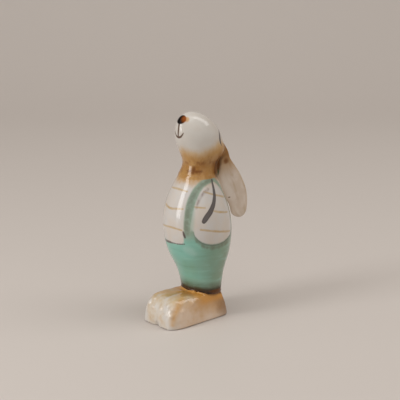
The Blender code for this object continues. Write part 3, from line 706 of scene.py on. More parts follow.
def swept_bead(name, path, lean, settings):
    """A seam bead along a closed path, made by the rule and turned into a plain mesh."""
    line = bpy.data.meshes.new(name)
    line.from_pydata([tuple(point) for point in path],
                     [(i, (i + 1) % len(path)) for i in range(len(path))], [])
    carrier = new_object(name + "_line", line)
    note(carrier, "lean", lean)
    rule = carrier.modifiers.new("slip_bead", "NODES")
    rule.node_group = bead_rule
    for socket in bead_rule.interface.items_tree:
        if socket.in_out == "INPUT" and socket.name in settings:
            rule[socket.identifier] = settings[socket.name]
    made = plain_mesh(carrier)
    bpy.data.objects.remove(carrier)
    face_outward(made)
    made.name = name
    made.shade_smooth()
    return new_object(name, made)


bead_rule = slip_bead_rule()

neck_glaze, tree, where = start_glaze("neck_seam_glaze")
fur, height, runs = fur_colour(where)
fur = root_brown(where, (runs.ease(0.35, 0.6) * 0.2).over(fur, BROWN), height)[0]
neck_glaze = fire(neck_glaze, tree, where, fur, uneven=0.1)
neck_z = 0.5 * (COLLAR_Z + HEAD_BASE)
step = ring(body_point, neck_z + LEAN_STEP) - ring(body_point, neck_z - LEAN_STEP)
neck_lean = np.arctan2(step[:, 0] * np.sin(turns) - step[:, 1] * np.cos(turns), 2.0 * LEAN_STEP)
neck_seam = swept_bead("neck_seam", ring(body_point, neck_z, NECK_BEAD_SINK), neck_lean, {
    "Bead height": 0.0015, "Bead depth": 0.00031, "Points round": 24, "Glaze": neck_glaze})
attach(neck_seam, "root")
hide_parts("neck_slip_seam")

UMBER = (0.026, 0.011, 0.004)
ankle_glaze, tree, where = start_glaze("ankle_seam_glaze")
back = axis_mm(where, "Y") - 1000.0 * ANKLE_Y
pool = mottle(where, 2.6, 2).ease(0.4, 0.7).most(back.ease(-5, 1))
ankle_glaze = fire(ankle_glaze, tree, where, (pool * 0.8).over(UMBER, CUFF_BROWN))
ankle_path = ring(body_point, CUFF_Z, ANKLE_BEAD_SINK) - (0.0, 0.0, ANKLE_BEAD_DROP)
ankle_seam = swept_bead("ankle_seam", ankle_path, np.zeros(AROUND), {
    "Bead height": 0.0011, "Bead depth": 0.0006, "Points round": 20, "Glaze": ankle_glaze})
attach(ankle_seam, "root")
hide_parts("ankle_slip_seam")


# Feet. Two hollow castings with shallow toe grooves, each luted under the cuff
# and vented through its sole. Cream glaze is dabbed with ochre, which gathers at
# the ankle, between the feet and in the toe grooves.
ANKLE_AT = np.array([0.0, ANKLE_Y, 0.0])
FOOT_WIDTH = 0.0149
FOOT_PARTING = 0.0003
FOOT_HEIGHT = 0.0154
HEEL_REACH = 0.0113
TOE_ROUNDING = 0.013
HEEL_CORNER = 0.009
HEEL_SLANT = 0.004
TOE_TOP_POWER = 2.8
TOE_OUTER_POWER = 2.6
TOE_INNER_POWERS = (3.4, 6.0)
HEEL_TOP_POWER = 1.3
HEEL_SIDE_POWER = 4.0
INNER_SIDE_POWER = 9.0
OUTER_SIDE_POWER = 4.6
OUTER_POWER_DROP = 1.9
SIDE_LEAN = 0.17
SOLE_ROUNDING = 0.0013
INSTEP_RISE = 0.0008
CUFF_WIDE, CUFF_DEEP, CUFF_SHIFT = BODY_STATIONS[0][1:]
INSTEP_START = CUFF_SHIFT - CUFF_DEEP
VALLEY_DIP = 0.0012
OUTER_DIP = 0.003
GLAZE_BRIDGE = 0.0026
BRIDGE_START = 0.0005
BRIDGE_SPAN = 0.004
GLAZE_LAP = 0.0003
ANKLE_FILLET = 0.0014
ANKLE_FILLET_FALL = 6
FOOT_ROWS = 150
FOOT_ARC = 110
FOOT_END_SHARE = 0.9996
EDGE_STEPS = 7
TOE_GROOVES = (-0.34, 0.36)
GROOVE_WIDTH = 0.17
GROOVE_DEPTH = 0.0006
GROOVE_LENGTH = 0.008
VENT_RADIUS = 0.002
VENT_DEPTH = 0.004
VENT_SIDES = 48
LUMP_HEIGHT = 0.0004
GLAZE_WAVE = 0.00014
GLAZE_WAVE_SIZE = 0.0036
GLAZE_RIPPLE = 0.00005
GLAZE_RIPPLE_SIZE = 0.0017
SMOOTH_TIP = 0.0008
SMOOTH_SOLE = 0.0015


def draw_in(distance, length, power):
    """How far a rounded end has drawn in, from 1 down to 0 at its tip."""
    share = np.clip(distance / length, 0.0, 1.0)
    return np.maximum(1.0 - share ** power, 0.0) ** (1.0 / power)


def fillet(gap, radius):
    """How far a round fillet stands off one face at a gap from the other."""
    return radius * (1.0 - np.sqrt(1.0 - (1.0 - np.clip(gap / radius, 0.0, 1.0)) ** 2))


def sole_curve(distance):
    """Height of the sole's rounded edge at a distance in from the side."""
    inside = max(SOLE_ROUNDING - distance, 0.0)
    return SOLE_ROUNDING - math.sqrt(max(SOLE_ROUNDING ** 2 - inside ** 2, 0.0))


def foot_row(back):
    """One upright section of the left foot, from its inner side over to its outer side."""
    ahead = -back - (TOE_REACH - TOE_ROUNDING)
    past_cuff = eased((INSTEP_START - back) / CUFF_DEEP)
    top = FOOT_HEIGHT - CUFF_SLOPE * max(back, INSTEP_START) + INSTEP_RISE * past_cuff
    height = top * draw_in(ahead, TOE_ROUNDING, TOE_TOP_POWER)
    height = height * draw_in(back - HEEL_REACH + HEEL_SLANT, HEEL_SLANT, HEEL_TOP_POWER)
    heel = draw_in(back - HEEL_REACH + HEEL_CORNER, HEEL_CORNER, HEEL_SIDE_POWER)
    inner_low, inner_high = ((0.5 * FOOT_WIDTH + GLAZE_BRIDGE) * heel * draw_in(ahead, TOE_ROUNDING, power)
                             for power in TOE_INNER_POWERS)
    outer_half = 0.5 * FOOT_WIDTH * heel * draw_in(ahead, TOE_ROUNDING, TOE_OUTER_POWER)
    toeward = eased(-back / (TOE_REACH - TOE_ROUNDING))
    angle = np.linspace(0.0, np.pi, FOOT_ARC + 1)
    inner_side = angle < 0.5 * np.pi
    power = np.where(inner_side, INNER_SIDE_POWER, OUTER_SIDE_POWER - OUTER_POWER_DROP * toeward)
    across = -np.sign(np.cos(angle)) * np.abs(np.cos(angle)) ** (2.0 / power)
    up = np.abs(np.sin(angle)) ** (2.0 / power)
    groove = sum(np.exp(-((across - spot) / GROOVE_WIDTH) ** 2) for spot in TOE_GROOVES)
    groove = groove * eased((GROOVE_LENGTH - TOE_REACH - back) / GROOVE_LENGTH)
    tuck = GROOVE_DEPTH * groove
    dip = np.where(inner_side, VALLEY_DIP, OUTER_DIP) * past_cuff * across ** 2
    rise = up * (height - tuck - dip)
    edge_tuck = SOLE_ROUNDING * (1.0 - np.sin(np.linspace(0.0, 0.5 * np.pi, EDGE_STEPS)))
    edge_rise = np.minimum([sole_curve(value) for value in edge_tuck], 0.3 * height)
    first = int(np.argmax(rise > edge_rise[-1]))
    last = len(rise) - int(np.argmax(rise[::-1] > edge_rise[-1]))
    across = np.concatenate([-np.ones(EDGE_STEPS), across[first:last], np.ones(EDGE_STEPS)])
    rise = np.concatenate([edge_rise, rise[first:last], edge_rise[::-1]])
    tuck = np.concatenate([edge_tuck, tuck[first:last], edge_tuck[::-1]])
    pooled = np.concatenate([np.zeros(EDGE_STEPS), groove[first:last], np.zeros(EDGE_STEPS)])
    inner_half = inner_low + (inner_high - inner_low) * eased((rise - BRIDGE_START) / BRIDGE_SPAN)
    half = np.where(across < 0.0, inner_half, outer_half)
    lean = np.where(across > 0.0, SIDE_LEAN * rise * (1.0 - toeward), 0.0)
    x = 0.5 * (FOOT_PARTING + FOOT_WIDTH) + across * (half - lean - np.minimum(tuck, 0.5 * half))
    x = np.maximum(x, -GLAZE_LAP)
    floor = sole_curve(min(TOE_REACH + back, HEEL_REACH - back))
    z = floor + rise * (height - floor) / height
    far, deep = x / CUFF_WIDE, (back - CUFF_SHIFT) / CUFF_DEEP
    oval = np.maximum(np.hypot(far, deep), 0.1)
    gap = (oval - 1.0) * oval / np.hypot(far / CUFF_WIDE, deep / CUFF_DEEP)
    z = z + fillet(gap, ANKLE_FILLET) * (rise / height) ** ANKLE_FILLET_FALL
    even = np.linspace(0.0, 1.0, FOOT_ARC + 2 * EDGE_STEPS + 1)
    walk = np.concatenate([[0.0], np.cumsum(np.hypot(np.diff(x), np.diff(z)))])
    walk = walk / walk[-1]
    return np.stack([np.interp(even, walk, x), np.full(len(even), back + ANKLE_Y),
                     np.interp(even, walk, z)], axis=-1), np.interp(even, walk, pooled)


def capped_skin(name, rows):
    """A closed mesh through rings, with a pole in the middle of the first and the last."""
    return turned_skin(name, rows, (rows[0].mean(axis=0), rows[-1].mean(axis=0)))


def foot_piece(name, side):
    """One foot, with its sole closed and a vent hole sunk into it."""
    middle = 0.5 * (HEEL_REACH - TOE_REACH)
    half = 0.5 * (HEEL_REACH + TOE_REACH)
    ends = FOOT_END_SHARE * np.cos(np.pi * np.arange(FOOT_ROWS + 1) / FOOT_ROWS)
    sections = [foot_row(middle - half * share) for share in ends]
    rows = [points * (side, 1.0, 1.0) for points, _ in sections]
    piece = capped_skin(name, rows)
    note(piece, "groove_pool", np.concatenate([pool for _, pool in sections] + [[0.0, 0.0]]))
    hole = bmesh.new()
    bmesh.ops.create_cone(hole, cap_ends=True, segments=VENT_SIDES, radius1=VENT_RADIUS,
                          radius2=VENT_RADIUS, depth=1.5 * VENT_DEPTH)
    bmesh.ops.translate(hole, verts=hole.verts, vec=(
        side * 0.5 * (FOOT_PARTING + FOOT_WIDTH), ANKLE_Y - CUFF_DEEP, 0.25 * VENT_DEPTH))
    drill_mesh = bpy.data.meshes.new(name + "_vent")
    hole.to_mesh(drill_mesh)
    hole.free()
    drill = new_object(name + "_vent", drill_mesh)
    cut = piece.modifiers.new("vent", "BOOLEAN")
    cut.operation = "DIFFERENCE"
    cut.solver = "EXACT"
    cut.object = drill
    cut_mesh = plain_mesh(piece)
    piece.modifiers.clear()
    piece.data = cut_mesh
    bpy.data.objects.remove(drill)
    cut_mesh.set_sharp_from_angle(angle=SHARP_ANGLE)
    return piece


# where ochre has run down from the ankle, and where the glaze stands in lumps, as
# (left side, back, height, size) in mm
OCHRE_RUN = [(0.5, -14.5, 16.2, 2), (4, -18, 16.8, 2.2), (7.6, -22, 16.8, 2),
             (10.4, -25, 15.8, 1.7), (11.6, -28, 13.6, 1.7), (12.2, -30.6, 10.9, 1.8),
             (12.5, -32.2, 7.4, 1.6), (12.5, -33, 3.6, 1.1)]
FAR_OCHRE = [(-9, -27, 15.6, 1.6), (-6.5, -24, 16.2, 1.9), (-3.5, -20, 16.2, 2), (-2, -16, 16.2, 2)]
LUMPS = {
    "left_foot": ((7.4, -32.6, 13.6, 1.4), (10.8, -32.3, 12, 1.2), (11.6, -33.5, 8.5, 1.3),
                  (2.6, -33.9, 11.2, 1.3), (13.8, -26.1, 10.4, 1.3), (12.8, -17.1, 13.5, 1.3),
                  (12.3, -12.5, 14.7, 1.3), (5.3, -9.7, 17.1, 1.5)),
    "right_foot": ((-6.5, -31, 15.2, 1.5), (-4.5, -34, 10.6, 1.4), (-8.9, -33.2, 12.2, 1.4),
                   (-1, -13.8, 15.8, 0.9)),
}


def run_gap(points, run):
    """How far in mm points lie outside a painted run."""
    run = np.array(run)
    return paint_gap(points, [(0.001 * run[:, :3] + ANKLE_AT, run[:, 3])])


def raise_skin(piece, lift):
    """Move each point of a piece out along its normal by its own lift in metres."""
    normals = np.empty(3 * len(piece.data.vertices))
    piece.data.vertex_normals.foreach_get("vector", normals)
    moved = corners(piece) + normals.reshape(-1, 3) * np.asarray(lift)[:, None]
    piece.data.vertices.foreach_set("co", moved.ravel())
    piece.data.update()


def waves(points, size):
    """Soft unevenness about size metres across, from -1 to 1 at each point."""
    return np.array([noise.noise(Vector(point) / size) for point in points])


def lump_rise(points, lumps):
    """How high lumps of glaze stand at each point, as a multiple of LUMP_HEIGHT."""
    return sum(size * np.exp(-(np.linalg.norm(1000.0 * (points - ANKLE_AT) - middle, axis=1) / size) ** 2)
               for *middle, size in lumps)


FOOT_CREAM = (0.63, 0.59, 0.545)
FOOT_WARM = (0.62, 0.53, 0.42)
FLANK_CREAM = (0.74, 0.54, 0.38)
CROWN_OCHRE = (0.5, 0.34, 0.135)
FLECK_OCHRE = (0.5, 0.31, 0.13)
REAR_OCHRE = (0.52, 0.285, 0.105)
RUN_OCHRE = (0.58, 0.305, 0.085)
ANKLE_OCHRE = (0.6, 0.275, 0.054)
PARTING_OCHRE = (0.44, 0.26, 0.085)
GROOVE_TAN = (0.5, 0.33, 0.17)
HEEL_BROWN = (0.235, 0.115, 0.045)

foot_glaze, tree, where = start_glaze("foot_paint")
low = axis_mm(where, "Z")
back = axis_mm(where, "Y") - 1000.0 * ANKLE_Y
side = axis_mm(where, "X").size()
dab = mottle(where, 8, 3, (1, 0.8, 1), 4)
fine = mottle(where, 3, 3, offset=8)
crown = (low + fine.sway(4)).ease(10, 15) * (back + dab.sway(16)).ease(-36, -24)
flank = (side + dab.sway(5)).ease(9.5, 13.5) * back.ease(-34, -27)
rear = (back + dab.sway(16) + fine.sway(6)).ease(-32, -9)
run = (kept(where, "ochre_gap") + fine.sway(3.6) + dab.sway(2.6)).ease(2, -1.9)
ankle = (kept(where, "ankle_gap") + dab.sway(4)).ease(8.5, 2) * low.ease(9, 13)
skirt = (low + (back + 8.0).size() * 0.16 + fine.sway(1.6)).ease(15.2, 17.2) * back.ease(-9, 1)
parting = (side + fine.sway(2.4)).ease(2.2, 0.1) * back.ease(-31, -18)
foot = painted(
    dab.ease(0.3, 0.7).over(FOOT_CREAM, FOOT_WARM),
    (crown * (0.3 + 0.55 * dab.ease(0.3, 0.6)), CROWN_OCHRE),
    ((fine + dab).ease(0.95, 1.35) * 0.4, FLECK_OCHRE),
    (flank * 0.7, FLANK_CREAM),
    (rear * (low + dab.sway(8)).ease(-1, 10.5) * 0.85, REAR_OCHRE),
    (run * (0.5 + 0.4 * fine.ease(0.3, 0.6)), RUN_OCHRE),
    ((back + dab.sway(8)).ease(-3, 9) * 0.75, HEEL_BROWN),
    (ankle * 0.9, ANKLE_OCHRE),
    (skirt * 0.9, CUFF_BROWN),
    (parting * 0.45, PARTING_OCHRE),
    (kept(where, "groove_pool") * fine.ease(0.3, 0.6) * 0.3, GROOVE_TAN),
)
foot_glaze = fire(foot_glaze, tree, where, foot, mottle(where, 2.4, 2, offset=17) * 0.4)
for name, node, hand in (("left_foot_glazed", "left_foot", 1.0), ("right_foot_glazed", "right_foot", -1.0)):
    piece = foot_piece(name, hand)
    place = corners(piece)
    note(piece, "ochre_gap", run_gap(place, OCHRE_RUN if hand > 0.0 else FAR_OCHRE))
    oval = np.hypot(place[:, 0] / CUFF_WIDE, (place[:, 1] - ANKLE_Y - CUFF_SHIFT) / CUFF_DEEP)
    note(piece, "ankle_gap", 1000.0 * CUFF_DEEP * (oval - 1.0))
    lift = (LUMP_HEIGHT * lump_rise(place, LUMPS[node]) + GLAZE_WAVE * waves(place, GLAZE_WAVE_SIZE)
            + GLAZE_RIPPLE * waves(place, GLAZE_RIPPLE_SIZE))
    # the tip of the toes and the sole's edge stay smooth
    behind_tip = eased((place[:, 1] - ANKLE_Y + TOE_REACH) / SMOOTH_TIP)
    raise_skin(piece, lift * behind_tip * eased((place[:, 2] - SMOOTH_SOLE) / (2.0 * SMOOTH_SOLE)))
    piece.data.materials.clear()
    piece.data.materials.append(foot_glaze)
    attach(piece, "root")
    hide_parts(node)


# Ears. Thin solid leaves, cupped on their outer side, hung from the back of the
# head. Each root is luted on and its slip smoothed out in a fillet, where the
# brown glaze gathers. The leaf is cream with faint lengthwise streaks.
UP = np.array([0.0, 0.0, 1.0])
EAR_SPLAY = math.radians(15)
EAR_ROOT = np.array([0.0055, 0.0109, 0.0])
EAR_ROOT_Z = NECK_Z + 0.0059
EAR_ROOT_REACH = 0.0009
EAR_SETTING = 0.0048
EAR_HALF_WIDTH = 0.0071
EAR_HALF_THICKNESS = 0.0019
EAR_ROOT_HALF_WIDTH = 0.0037
EAR_CLEARANCE = 0.0005
EAR_CUP = 0.001
EAR_FOLD = 0.00025
EAR_FOLD_WAVE = 2.6
EAR_FOLD_SHIFT = 0.9
EAR_THINNING = 0.35
EAR_HANG = 0.037
EAR_TIP_LENGTH = 0.0057
EAR_TIP_LEAN = 0.4
EAR_TIP_POWER = 1.8
# share of the hang and of the half width, and how many half widths the middle lies back
EAR_LEAF = ((0.17, 0.56, 0.66), (0.3, 0.77, 0.76), (0.44, 0.95, 0.9), (0.58, 1.0, 0.97),
            (0.76, 0.98, 0.98), (0.93, 0.86, 0.98), (1.0, 0.8, 0.98))
EAR_FOLD_START = 0.012
EAR_FILLET = 0.002
EAR_FILLET_END = 0.028
EAR_FILLET_FADE = 0.006
FILLET_ROUNDS = 40
FILLET_STEP = 0.4
EAR_LAP = 0.0013
EAR_LAP_SPAN = (0.009, 0.04)
EAR_LAP_FADES = (0.006, 0.007)
PROBE_STEP = 0.0001
EAR_ROOT_END = 0.0078
EAR_ROWS = 170
EAR_TIP_ROWS = 50
EAR_ROUND = 112
WEB_TOP = 0.101
WEB_FOOT = 0.0855
WEB_ROWS = 60
WEB_OVERLAP = 0.0003
WEB_SINK = 0.0004
WEB_EDGES = (0.36, 0.5, 0.62)
WEB_TURNS = np.array([111.0, 138.0, 160.0])
WEB_SHUT_SHIFT = np.array([25.0, 0.0, -14.0])
EAR_BROWN_SPOT = (0.0076, 0.0138 + ANKLE_Y, 0.0953)
EAR_STRIPE_END = (0.0079, 0.0168 + ANKLE_Y, 0.0721)
STRIPE_END_SHAPE = (1.0, 1.0, 0.55)
EAR_GAP_SPAN = (0.078, 0.112)
NO_EAR_NEAR = 9.0


def ear_sections():
    """The leaf's sections: reach back, height, half width, thickness share and length so far."""
    stations = [(EAR_ROOT_REACH - EAR_SETTING, EAR_ROOT_Z + 0.5 * EAR_SETTING, EAR_ROOT_HALF_WIDTH),
                (EAR_ROOT_REACH, EAR_ROOT_Z, EAR_ROOT_HALF_WIDTH)]
    for drop, width, lead in EAR_LEAF:
        height = EAR_ROOT_Z - drop * EAR_HANG
        below = min(height, NECK_Z)
        behind = float(through(BODY_STATIONS, SHIFT, below) + through(BODY_STATIONS, DEEP, below))
        front = (max(behind, EAR_ROOT[1]) - EAR_ROOT[1]) / math.cos(EAR_SPLAY) + EAR_CLEARANCE
        stations.append((front + lead * width * EAR_HALF_WIDTH, height, width * EAR_HALF_WIDTH))
    steps = [math.dist(a[:2], b[:2]) for a, b in zip(stations, stations[1:])]
    lengths = np.concatenate([[0.0], np.cumsum(steps)])
    rows = [(length, *station) for length, station in zip(lengths, stations)]
    where = np.linspace(0.0, lengths[-1], EAR_ROWS + 1)
    reach, height, half = (through(rows, column, where) for column in (1, 2, 3))
    thick = 1.0 - EAR_THINNING * eased(where / lengths[-1])
    share = np.sin(0.5 * np.pi * np.arange(1, EAR_TIP_ROWS + 1) / (EAR_TIP_ROWS + 0.3))
    left = draw_in(share, 1.0, EAR_TIP_POWER)
    return (np.append(reach, reach[-1] + EAR_TIP_LEAN * EAR_TIP_LENGTH * share),
            np.append(height, height[-1] - EAR_TIP_LENGTH * share),
            np.append(half, half[-1] * left), np.append(thick, thick[-1] * left ** 0.5),
            np.append(where, lengths[-1] + EAR_TIP_LENGTH * share))


def skin_level(points):
    """0 on the skin of the head and the body, more outside it and less inside."""
    high = head_oval(np.maximum(points[..., 2], COLLAR_Z))
    low = np.minimum(points[..., 2], COLLAR_Z)
    below = points[..., 2] < COLLAR_Z
    half_width, half_depth, shift = (np.where(below, through(BODY_STATIONS, column, low), part)
                                     for column, part in zip((WIDE, DEEP, SHIFT), high))
    back = (points[..., 1] - ANKLE_Y - shift) / half_depth
    side = points[..., 0] / half_width
    side = side / (1.0 + high[3] * back / np.maximum(np.hypot(side, back), 1e-6))
    return np.hypot(side, back) - 1.0


def outside_skin(points):
    """About how far points lie outside the skin, in metres."""
    level = skin_level(points)
    slope = [skin_level(points + step) - level for step in PROBE_STEP * np.eye(3)]
    return PROBE_STEP * level / np.sqrt(sum(part ** 2 for part in slope))


# the left leaf as rows of rings, then drawn out to a fillet where it meets the head
reach, height, half, thick, leaf_length = (part[:, None] for part in ear_sections())
along = np.array([math.sin(EAR_SPLAY), math.cos(EAR_SPLAY), 0.0])
outward = np.array([math.cos(EAR_SPLAY), -math.sin(EAR_SPLAY), 0.0])
run = np.stack([np.gradient(reach[:, 0]), np.gradient(height[:, 0])], axis=1)
run = run / np.linalg.norm(run, axis=1)[:, None]
across = -run[:, 1:] * along + run[:, :1] * UP
angle = 2.0 * np.pi * np.arange(EAR_ROUND) / EAR_ROUND
side_share = np.cos(angle)
middle = EAR_ROOT + reach * along + ANKLE_AT + height * UP
cup = EAR_CUP * (side_share ** 2 - 0.5) * thick
fold = EAR_FOLD * np.sin(EAR_FOLD_WAVE * side_share + EAR_FOLD_SHIFT) * thick
fold = fold * eased(leaf_length / EAR_FOLD_START - 1.0)
depth = EAR_HALF_THICKNESS * thick * np.sin(angle)
leaf = (middle[:, None] + (half * side_share)[..., None] * across[:, None]
        + (depth + cup + fold)[..., None] * outward)
facing = ((side_share / np.maximum(half, 1e-4))[..., None] * across[:, None]
          + (np.sin(angle) / (EAR_HALF_THICKNESS * thick))[..., None] * outward)
facing = facing / np.linalg.norm(facing, axis=-1)[..., None]
flare = np.zeros(leaf.shape[:2])
for _ in range(FILLET_ROUNDS):
    wanted = fillet(outside_skin(leaf + facing * flare[..., None]), EAR_FILLET)
    flare += FILLET_STEP * (wanted * eased((EAR_FILLET_END - leaf_length) / EAR_FILLET_FADE) - flare)
leaf = leaf + facing * flare[..., None]
lap = EAR_LAP * eased((leaf_length - EAR_LAP_SPAN[0]) / EAR_LAP_FADES[0])
lap = lap * eased((EAR_LAP_SPAN[1] - leaf_length) / EAR_LAP_FADES[1])
leaf = leaf - (lap * (0.5 - 0.5 * side_share) ** 2)[..., None] * along
leaf_gap = 1000.0 * outside_skin(leaf)

# slip that fills the crease between the neck and the front edge of the leaf
cut = int(np.searchsorted(leaf_length[:, 0], EAR_ROOT_END))
web_share = np.linspace(0.0, 1.0, WEB_ROWS)
web_z = WEB_TOP - (WEB_TOP - WEB_FOOT) * web_share
edges = [[np.interp(-web_z, -leaf[cut:, index, 2], leaf[cut:, index, axis]) for axis in (0, 1)]
         for index in (int(spot * EAR_ROUND) for spot in WEB_EDGES)]
web = []
for row, (share, z) in enumerate(zip(web_share, web_z)):
    shut = share ** 5
    body = body_point if z < COLLAR_Z else head_point
    outer_edge, front_edge, inner_edge = (np.array([edge[0][row], edge[1][row], z]) for edge in edges)
    skin = body(np.radians(WEB_TURNS + shut * WEB_SHUT_SHIFT), np.full(3, z), WEB_SINK)
    outer_edge = outer_edge + shut * (front_edge - outer_edge) - WEB_OVERLAP * outward
    inner_edge = inner_edge + shut * (front_edge - inner_edge) + WEB_OVERLAP * outward
    outline = []
    for start, bend, end in ((skin[0], 0.5 * (skin[1] + front_edge), outer_edge),
                             (outer_edge, 0.5 * (outer_edge + inner_edge), inner_edge),
                             (inner_edge, 0.5 * (skin[2] + front_edge), skin[2]),
                             (skin[2], 0.5 * (skin[2] + skin[0]), skin[0])):
        for t in np.arange(0.0, 1.0, 0.1):
            outline.append((1.0 - t) ** 2 * start + 2.0 * t * (1.0 - t) * bend + t * t * end)
    web.append(np.array(outline))
web = np.array(web)

nearest = KDTree(leaf.shape[0] * leaf.shape[1] + web.shape[0] * web.shape[1])
for i, point in enumerate((*leaf.reshape(-1, 3), *web.reshape(-1, 3))):
    nearest.insert(point, i)
nearest.balance()
for piece in (torso, head, neck_seam):
    note(piece, "ear_gap", [
        1000.0 * nearest.find((abs(x), y, z))[2] if EAR_GAP_SPAN[0] < z < EAR_GAP_SPAN[1] else NO_EAR_NEAR
        for x, y, z in corners(piece)])


EAR_CREAM = (0.665, 0.57, 0.485)
EAR_WARM = (0.605, 0.495, 0.395)
EAR_PAINTED_LIGHT = (0.7, 0.615, 0.53)
STREAK_TAN = (0.49, 0.36, 0.235)
EDGE_TAN = (0.45, 0.32, 0.19)
ROOT_OCHRE = (0.38, 0.22, 0.085)
ROOT_DEEP = (0.25, 0.105, 0.018)
SPOT_BROWN = (0.17, 0.055, 0.006)
STRIPE_END = (0.2, 0.13, 0.065)
WEB_SHADE_BROWN = (0.1, 0.03, 0.001)
WEB_SHADE_GREEN = (0.085, 0.085, 0.032)
LEAF_CREASE_SHADE = (0.085, 0.028, 0.001)


def ear_paint(name):
    """Cream with lengthwise streaks, a paler band of painted light, brown round the root and painted shade in
    the crease.
    """
    material, tree, where = start_glaze(name)
    length, side, gap, spot, stripe = (
        kept(where, word) for word in ("ear_length", "ear_side", "body_gap", "spot_gap", "dab_gap"))
    height = axis_mm(where, "Z")
    combed = where.node("ShaderNodeCombineXYZ", {}, {"X": side * 2.0, "Y": length * 0.05, "Z": 0.0})
    streak = where.node("ShaderNodeTexNoise", {}, {"Vector": combed, "Scale": 1.0, "Detail": 3.0})
    cloud = mottle(where, 6, 3, offset=6)
    # darker where the leaf lies close to the body: painted shade in the crease, over pooled glaze
    crease = (gap + cloud.sway(4)).ease(3.6, 0.8) * height.ease(101, 96.5) * height.ease(87, 91)
    ear = painted(
        cloud.ease(0.35, 0.65).over(EAR_CREAM, EAR_WARM),
        (streak.ease(0.46, 0.66) * 0.65, STREAK_TAN),
        # a paler band along the front half of each leaf: painted light
        ((side + cloud.sway(0.5) + 0.45).size().ease(0.35, 0.05) * 0.4, EAR_PAINTED_LIGHT),
        (side.size().ease(0.6, 1) * 0.35, EDGE_TAN),
        ((length + cloud.sway(8)).ease(25, 11) * 0.9, ROOT_OCHRE),
        ((length + cloud.sway(6)).ease(13.5, 7.5) * 0.8, ROOT_DEEP),
        ((spot + cloud.sway(3.4)).ease(2.6, 0.3) * 0.85, SPOT_BROWN),
        (crease * 0.95, LEAF_CREASE_SHADE),
        ((stripe + cloud - 0.5).ease(1.1, 0.1), STRIPE_END),
    )
    return fire(material, tree, where, ear, coat=1.0 - length.ease(18, 8) * 0.6)


ear_glaze = ear_paint("ear_paint")
root_glaze = ear_paint("ear_root_glaze")
# the crease slip is painted dark brown, dark green low down where the braces pass, and brown higher up:
# painted shade in the crease over pooled glaze, under almost no clear coat
web_glaze, tree, where = start_glaze("ear_crease_glaze")
height = axis_mm(where, "Z")
uneven = mottle(where, 3, 2)
pooled = (height + uneven * 3.0).ease(93.5, 90).over(WEB_SHADE_BROWN, WEB_SHADE_GREEN)
pooled = ((height + uneven * 4.0).ease(98.5, 102) * 0.85).over(pooled, BROWN)
web_glaze = fire(web_glaze, tree, where, pooled, coat=0.04)
spot_gap = 1000.0 * np.linalg.norm(leaf - EAR_BROWN_SPOT, axis=-1)
# the end of a shirt stripe that ran on to the ear
dab_gap = 1000.0 * np.linalg.norm((leaf - EAR_STRIPE_END) / STRIPE_END_SHAPE, axis=-1)
for word, hand in (("left", 1.0), ("right", -1.0)):
    for name, node, slot, glaze, part in (
        (word + "_ear_root_slip", word + "_ear_slip_seam", "ear_slip_glaze", root_glaze, slice(0, cut + 1)),
        (word + "_ear_glazed", word + "_ear", "glazed_ear", ear_glaze, slice(cut, len(leaf))),
    ):
        rows = leaf[part] * (hand, 1.0, 1.0)
        piece = capped_skin(name, rows)
        for mark, values in (("ear_length", np.repeat(1000.0 * leaf_length[part, 0], EAR_ROUND)),
                             ("ear_side", np.tile(side_share, len(rows))),
                             ("body_gap", leaf_gap[part].ravel()), ("spot_gap", spot_gap[part].ravel()),
                             ("dab_gap", dab_gap[part].ravel())):
            note(piece, mark, np.append(values, (values[0], values[-1])))
        piece.data.materials.append(glaze)
        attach(piece, "root")
        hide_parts(node)
    piece = capped_skin(word + "_ear_crease_slip", web * (hand, 1.0, 1.0))
    piece.data.materials.append(web_glaze)
    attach(piece, "root")
    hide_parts(word + "_ear_slip_seam")


# Studio. A pale table top rises behind into a pale backdrop. One tall lamp, like a
# window ahead of the figure, makes the long highlight. A second one, high on the
# camera's right, lights the crown. Two wide ones and the room fill softly.
VIEW_TURN = math.radians(48.0)
SWEEP_FRONT = -1.6
SWEEP_BEND = 0.55
SWEEP_RADIUS = 0.5
SWEEP_TOP = 3.0
SWEEP_HALF_WIDTH = 2.2
SWEEP_STEPS = 14
TABLE_DROP = 0.00005
TABLE_PALE = (0.6, 0.545, 0.5, 1.0)
ROOM_LIGHT = (1.0, 0.95, 0.9, 1.0)
WINDOW_LIGHT = (0.97, 0.985, 1.0)
LAMP_AIM = (0.0, ANKLE_Y, 0.07)

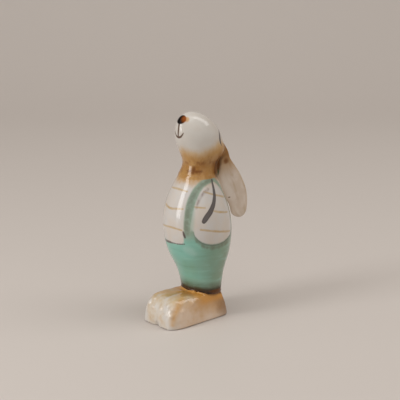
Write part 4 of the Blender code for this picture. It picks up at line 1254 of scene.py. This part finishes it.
profile = [(SWEEP_FRONT, 0.0), (SWEEP_BEND, 0.0)]
profile += [(SWEEP_BEND + SWEEP_RADIUS * math.sin(a), SWEEP_RADIUS * (1.0 - math.cos(a)))
            for a in np.linspace(0.1, 0.5 * math.pi, SWEEP_STEPS)]
profile.append((SWEEP_BEND + SWEEP_RADIUS, SWEEP_TOP))
floor_points = [(edge * math.cos(VIEW_TURN) - depth * math.sin(VIEW_TURN),
                 edge * math.sin(VIEW_TURN) + depth * math.cos(VIEW_TURN), rise - TABLE_DROP)
                for edge in (-SWEEP_HALF_WIDTH, SWEEP_HALF_WIDTH) for depth, rise in profile]
floor_mesh = bpy.data.meshes.new("table_sweep")
count = len(profile)
floor_mesh.from_pydata(floor_points, [], [(i, i + count, i + count + 1, i + 1) for i in range(count - 1)])
floor_mesh.shade_smooth()
table = new_object("table_sweep", floor_mesh)
table_paint = bpy.data.materials.new("pale_table")
table_paint.use_nodes = True
table_skin = table_paint.node_tree.nodes["Principled BSDF"]
table_skin.inputs["Base Color"].default_value = TABLE_PALE
table_skin.inputs["Roughness"].default_value = 0.55
floor_mesh.materials.append(table_paint)

world = bpy.data.worlds.new("soft_room")
world.use_nodes = True
backdrop = world.node_tree.nodes["Background"]
backdrop.inputs["Color"].default_value = ROOM_LIGHT
backdrop.inputs["Strength"].default_value = 0.4
bpy.context.scene.world = world


def lamp(name, turn, rise, distance, size, power, colour=(1.0, 1.0, 1.0)):
    """A rectangular lamp that faces the figure from a turn round it and a rise above it."""
    turn, rise = math.radians(turn), math.radians(rise)
    towards = Vector((math.cos(rise) * math.sin(turn), -math.cos(rise) * math.cos(turn), math.sin(rise)))
    light = bpy.data.lights.new(name, "AREA")
    light.shape = "RECTANGLE"
    light.size, light.size_y = size
    light.energy = power
    light.color = colour
    holder = new_object(name, light)
    holder.location = Vector(LAMP_AIM) + towards * distance
    holder.rotation_euler = towards.to_track_quat("Z", "Y").to_euler()


lamp("window", -14.0, 24.0, 0.9, (0.27, 0.92), 4.2, WINDOW_LIGHT)
lamp("right_strip", 137.0, 55.0, 0.9, (0.38, 0.75), 2.4)
lamp("overhead", 20.0, 75.0, 1.4, (1.2, 1.2), 5.0)
lamp("room", 70.0, 22.0, 1.5, (1.3, 1.3), 1.2)

camera = bpy.data.cameras.new("photo_view")
camera.lens = 126.2
camera.sensor_width = 36.0
view = new_object("photo_view", camera)
view.location = (0.6041, -0.5439 + ANKLE_Y, 0.305)
view.rotation_euler = (math.radians(74.0), 0.0, VIEW_TURN)
bpy.context.scene.camera = view
bpy.context.scene.view_settings.view_transform = "Standard"
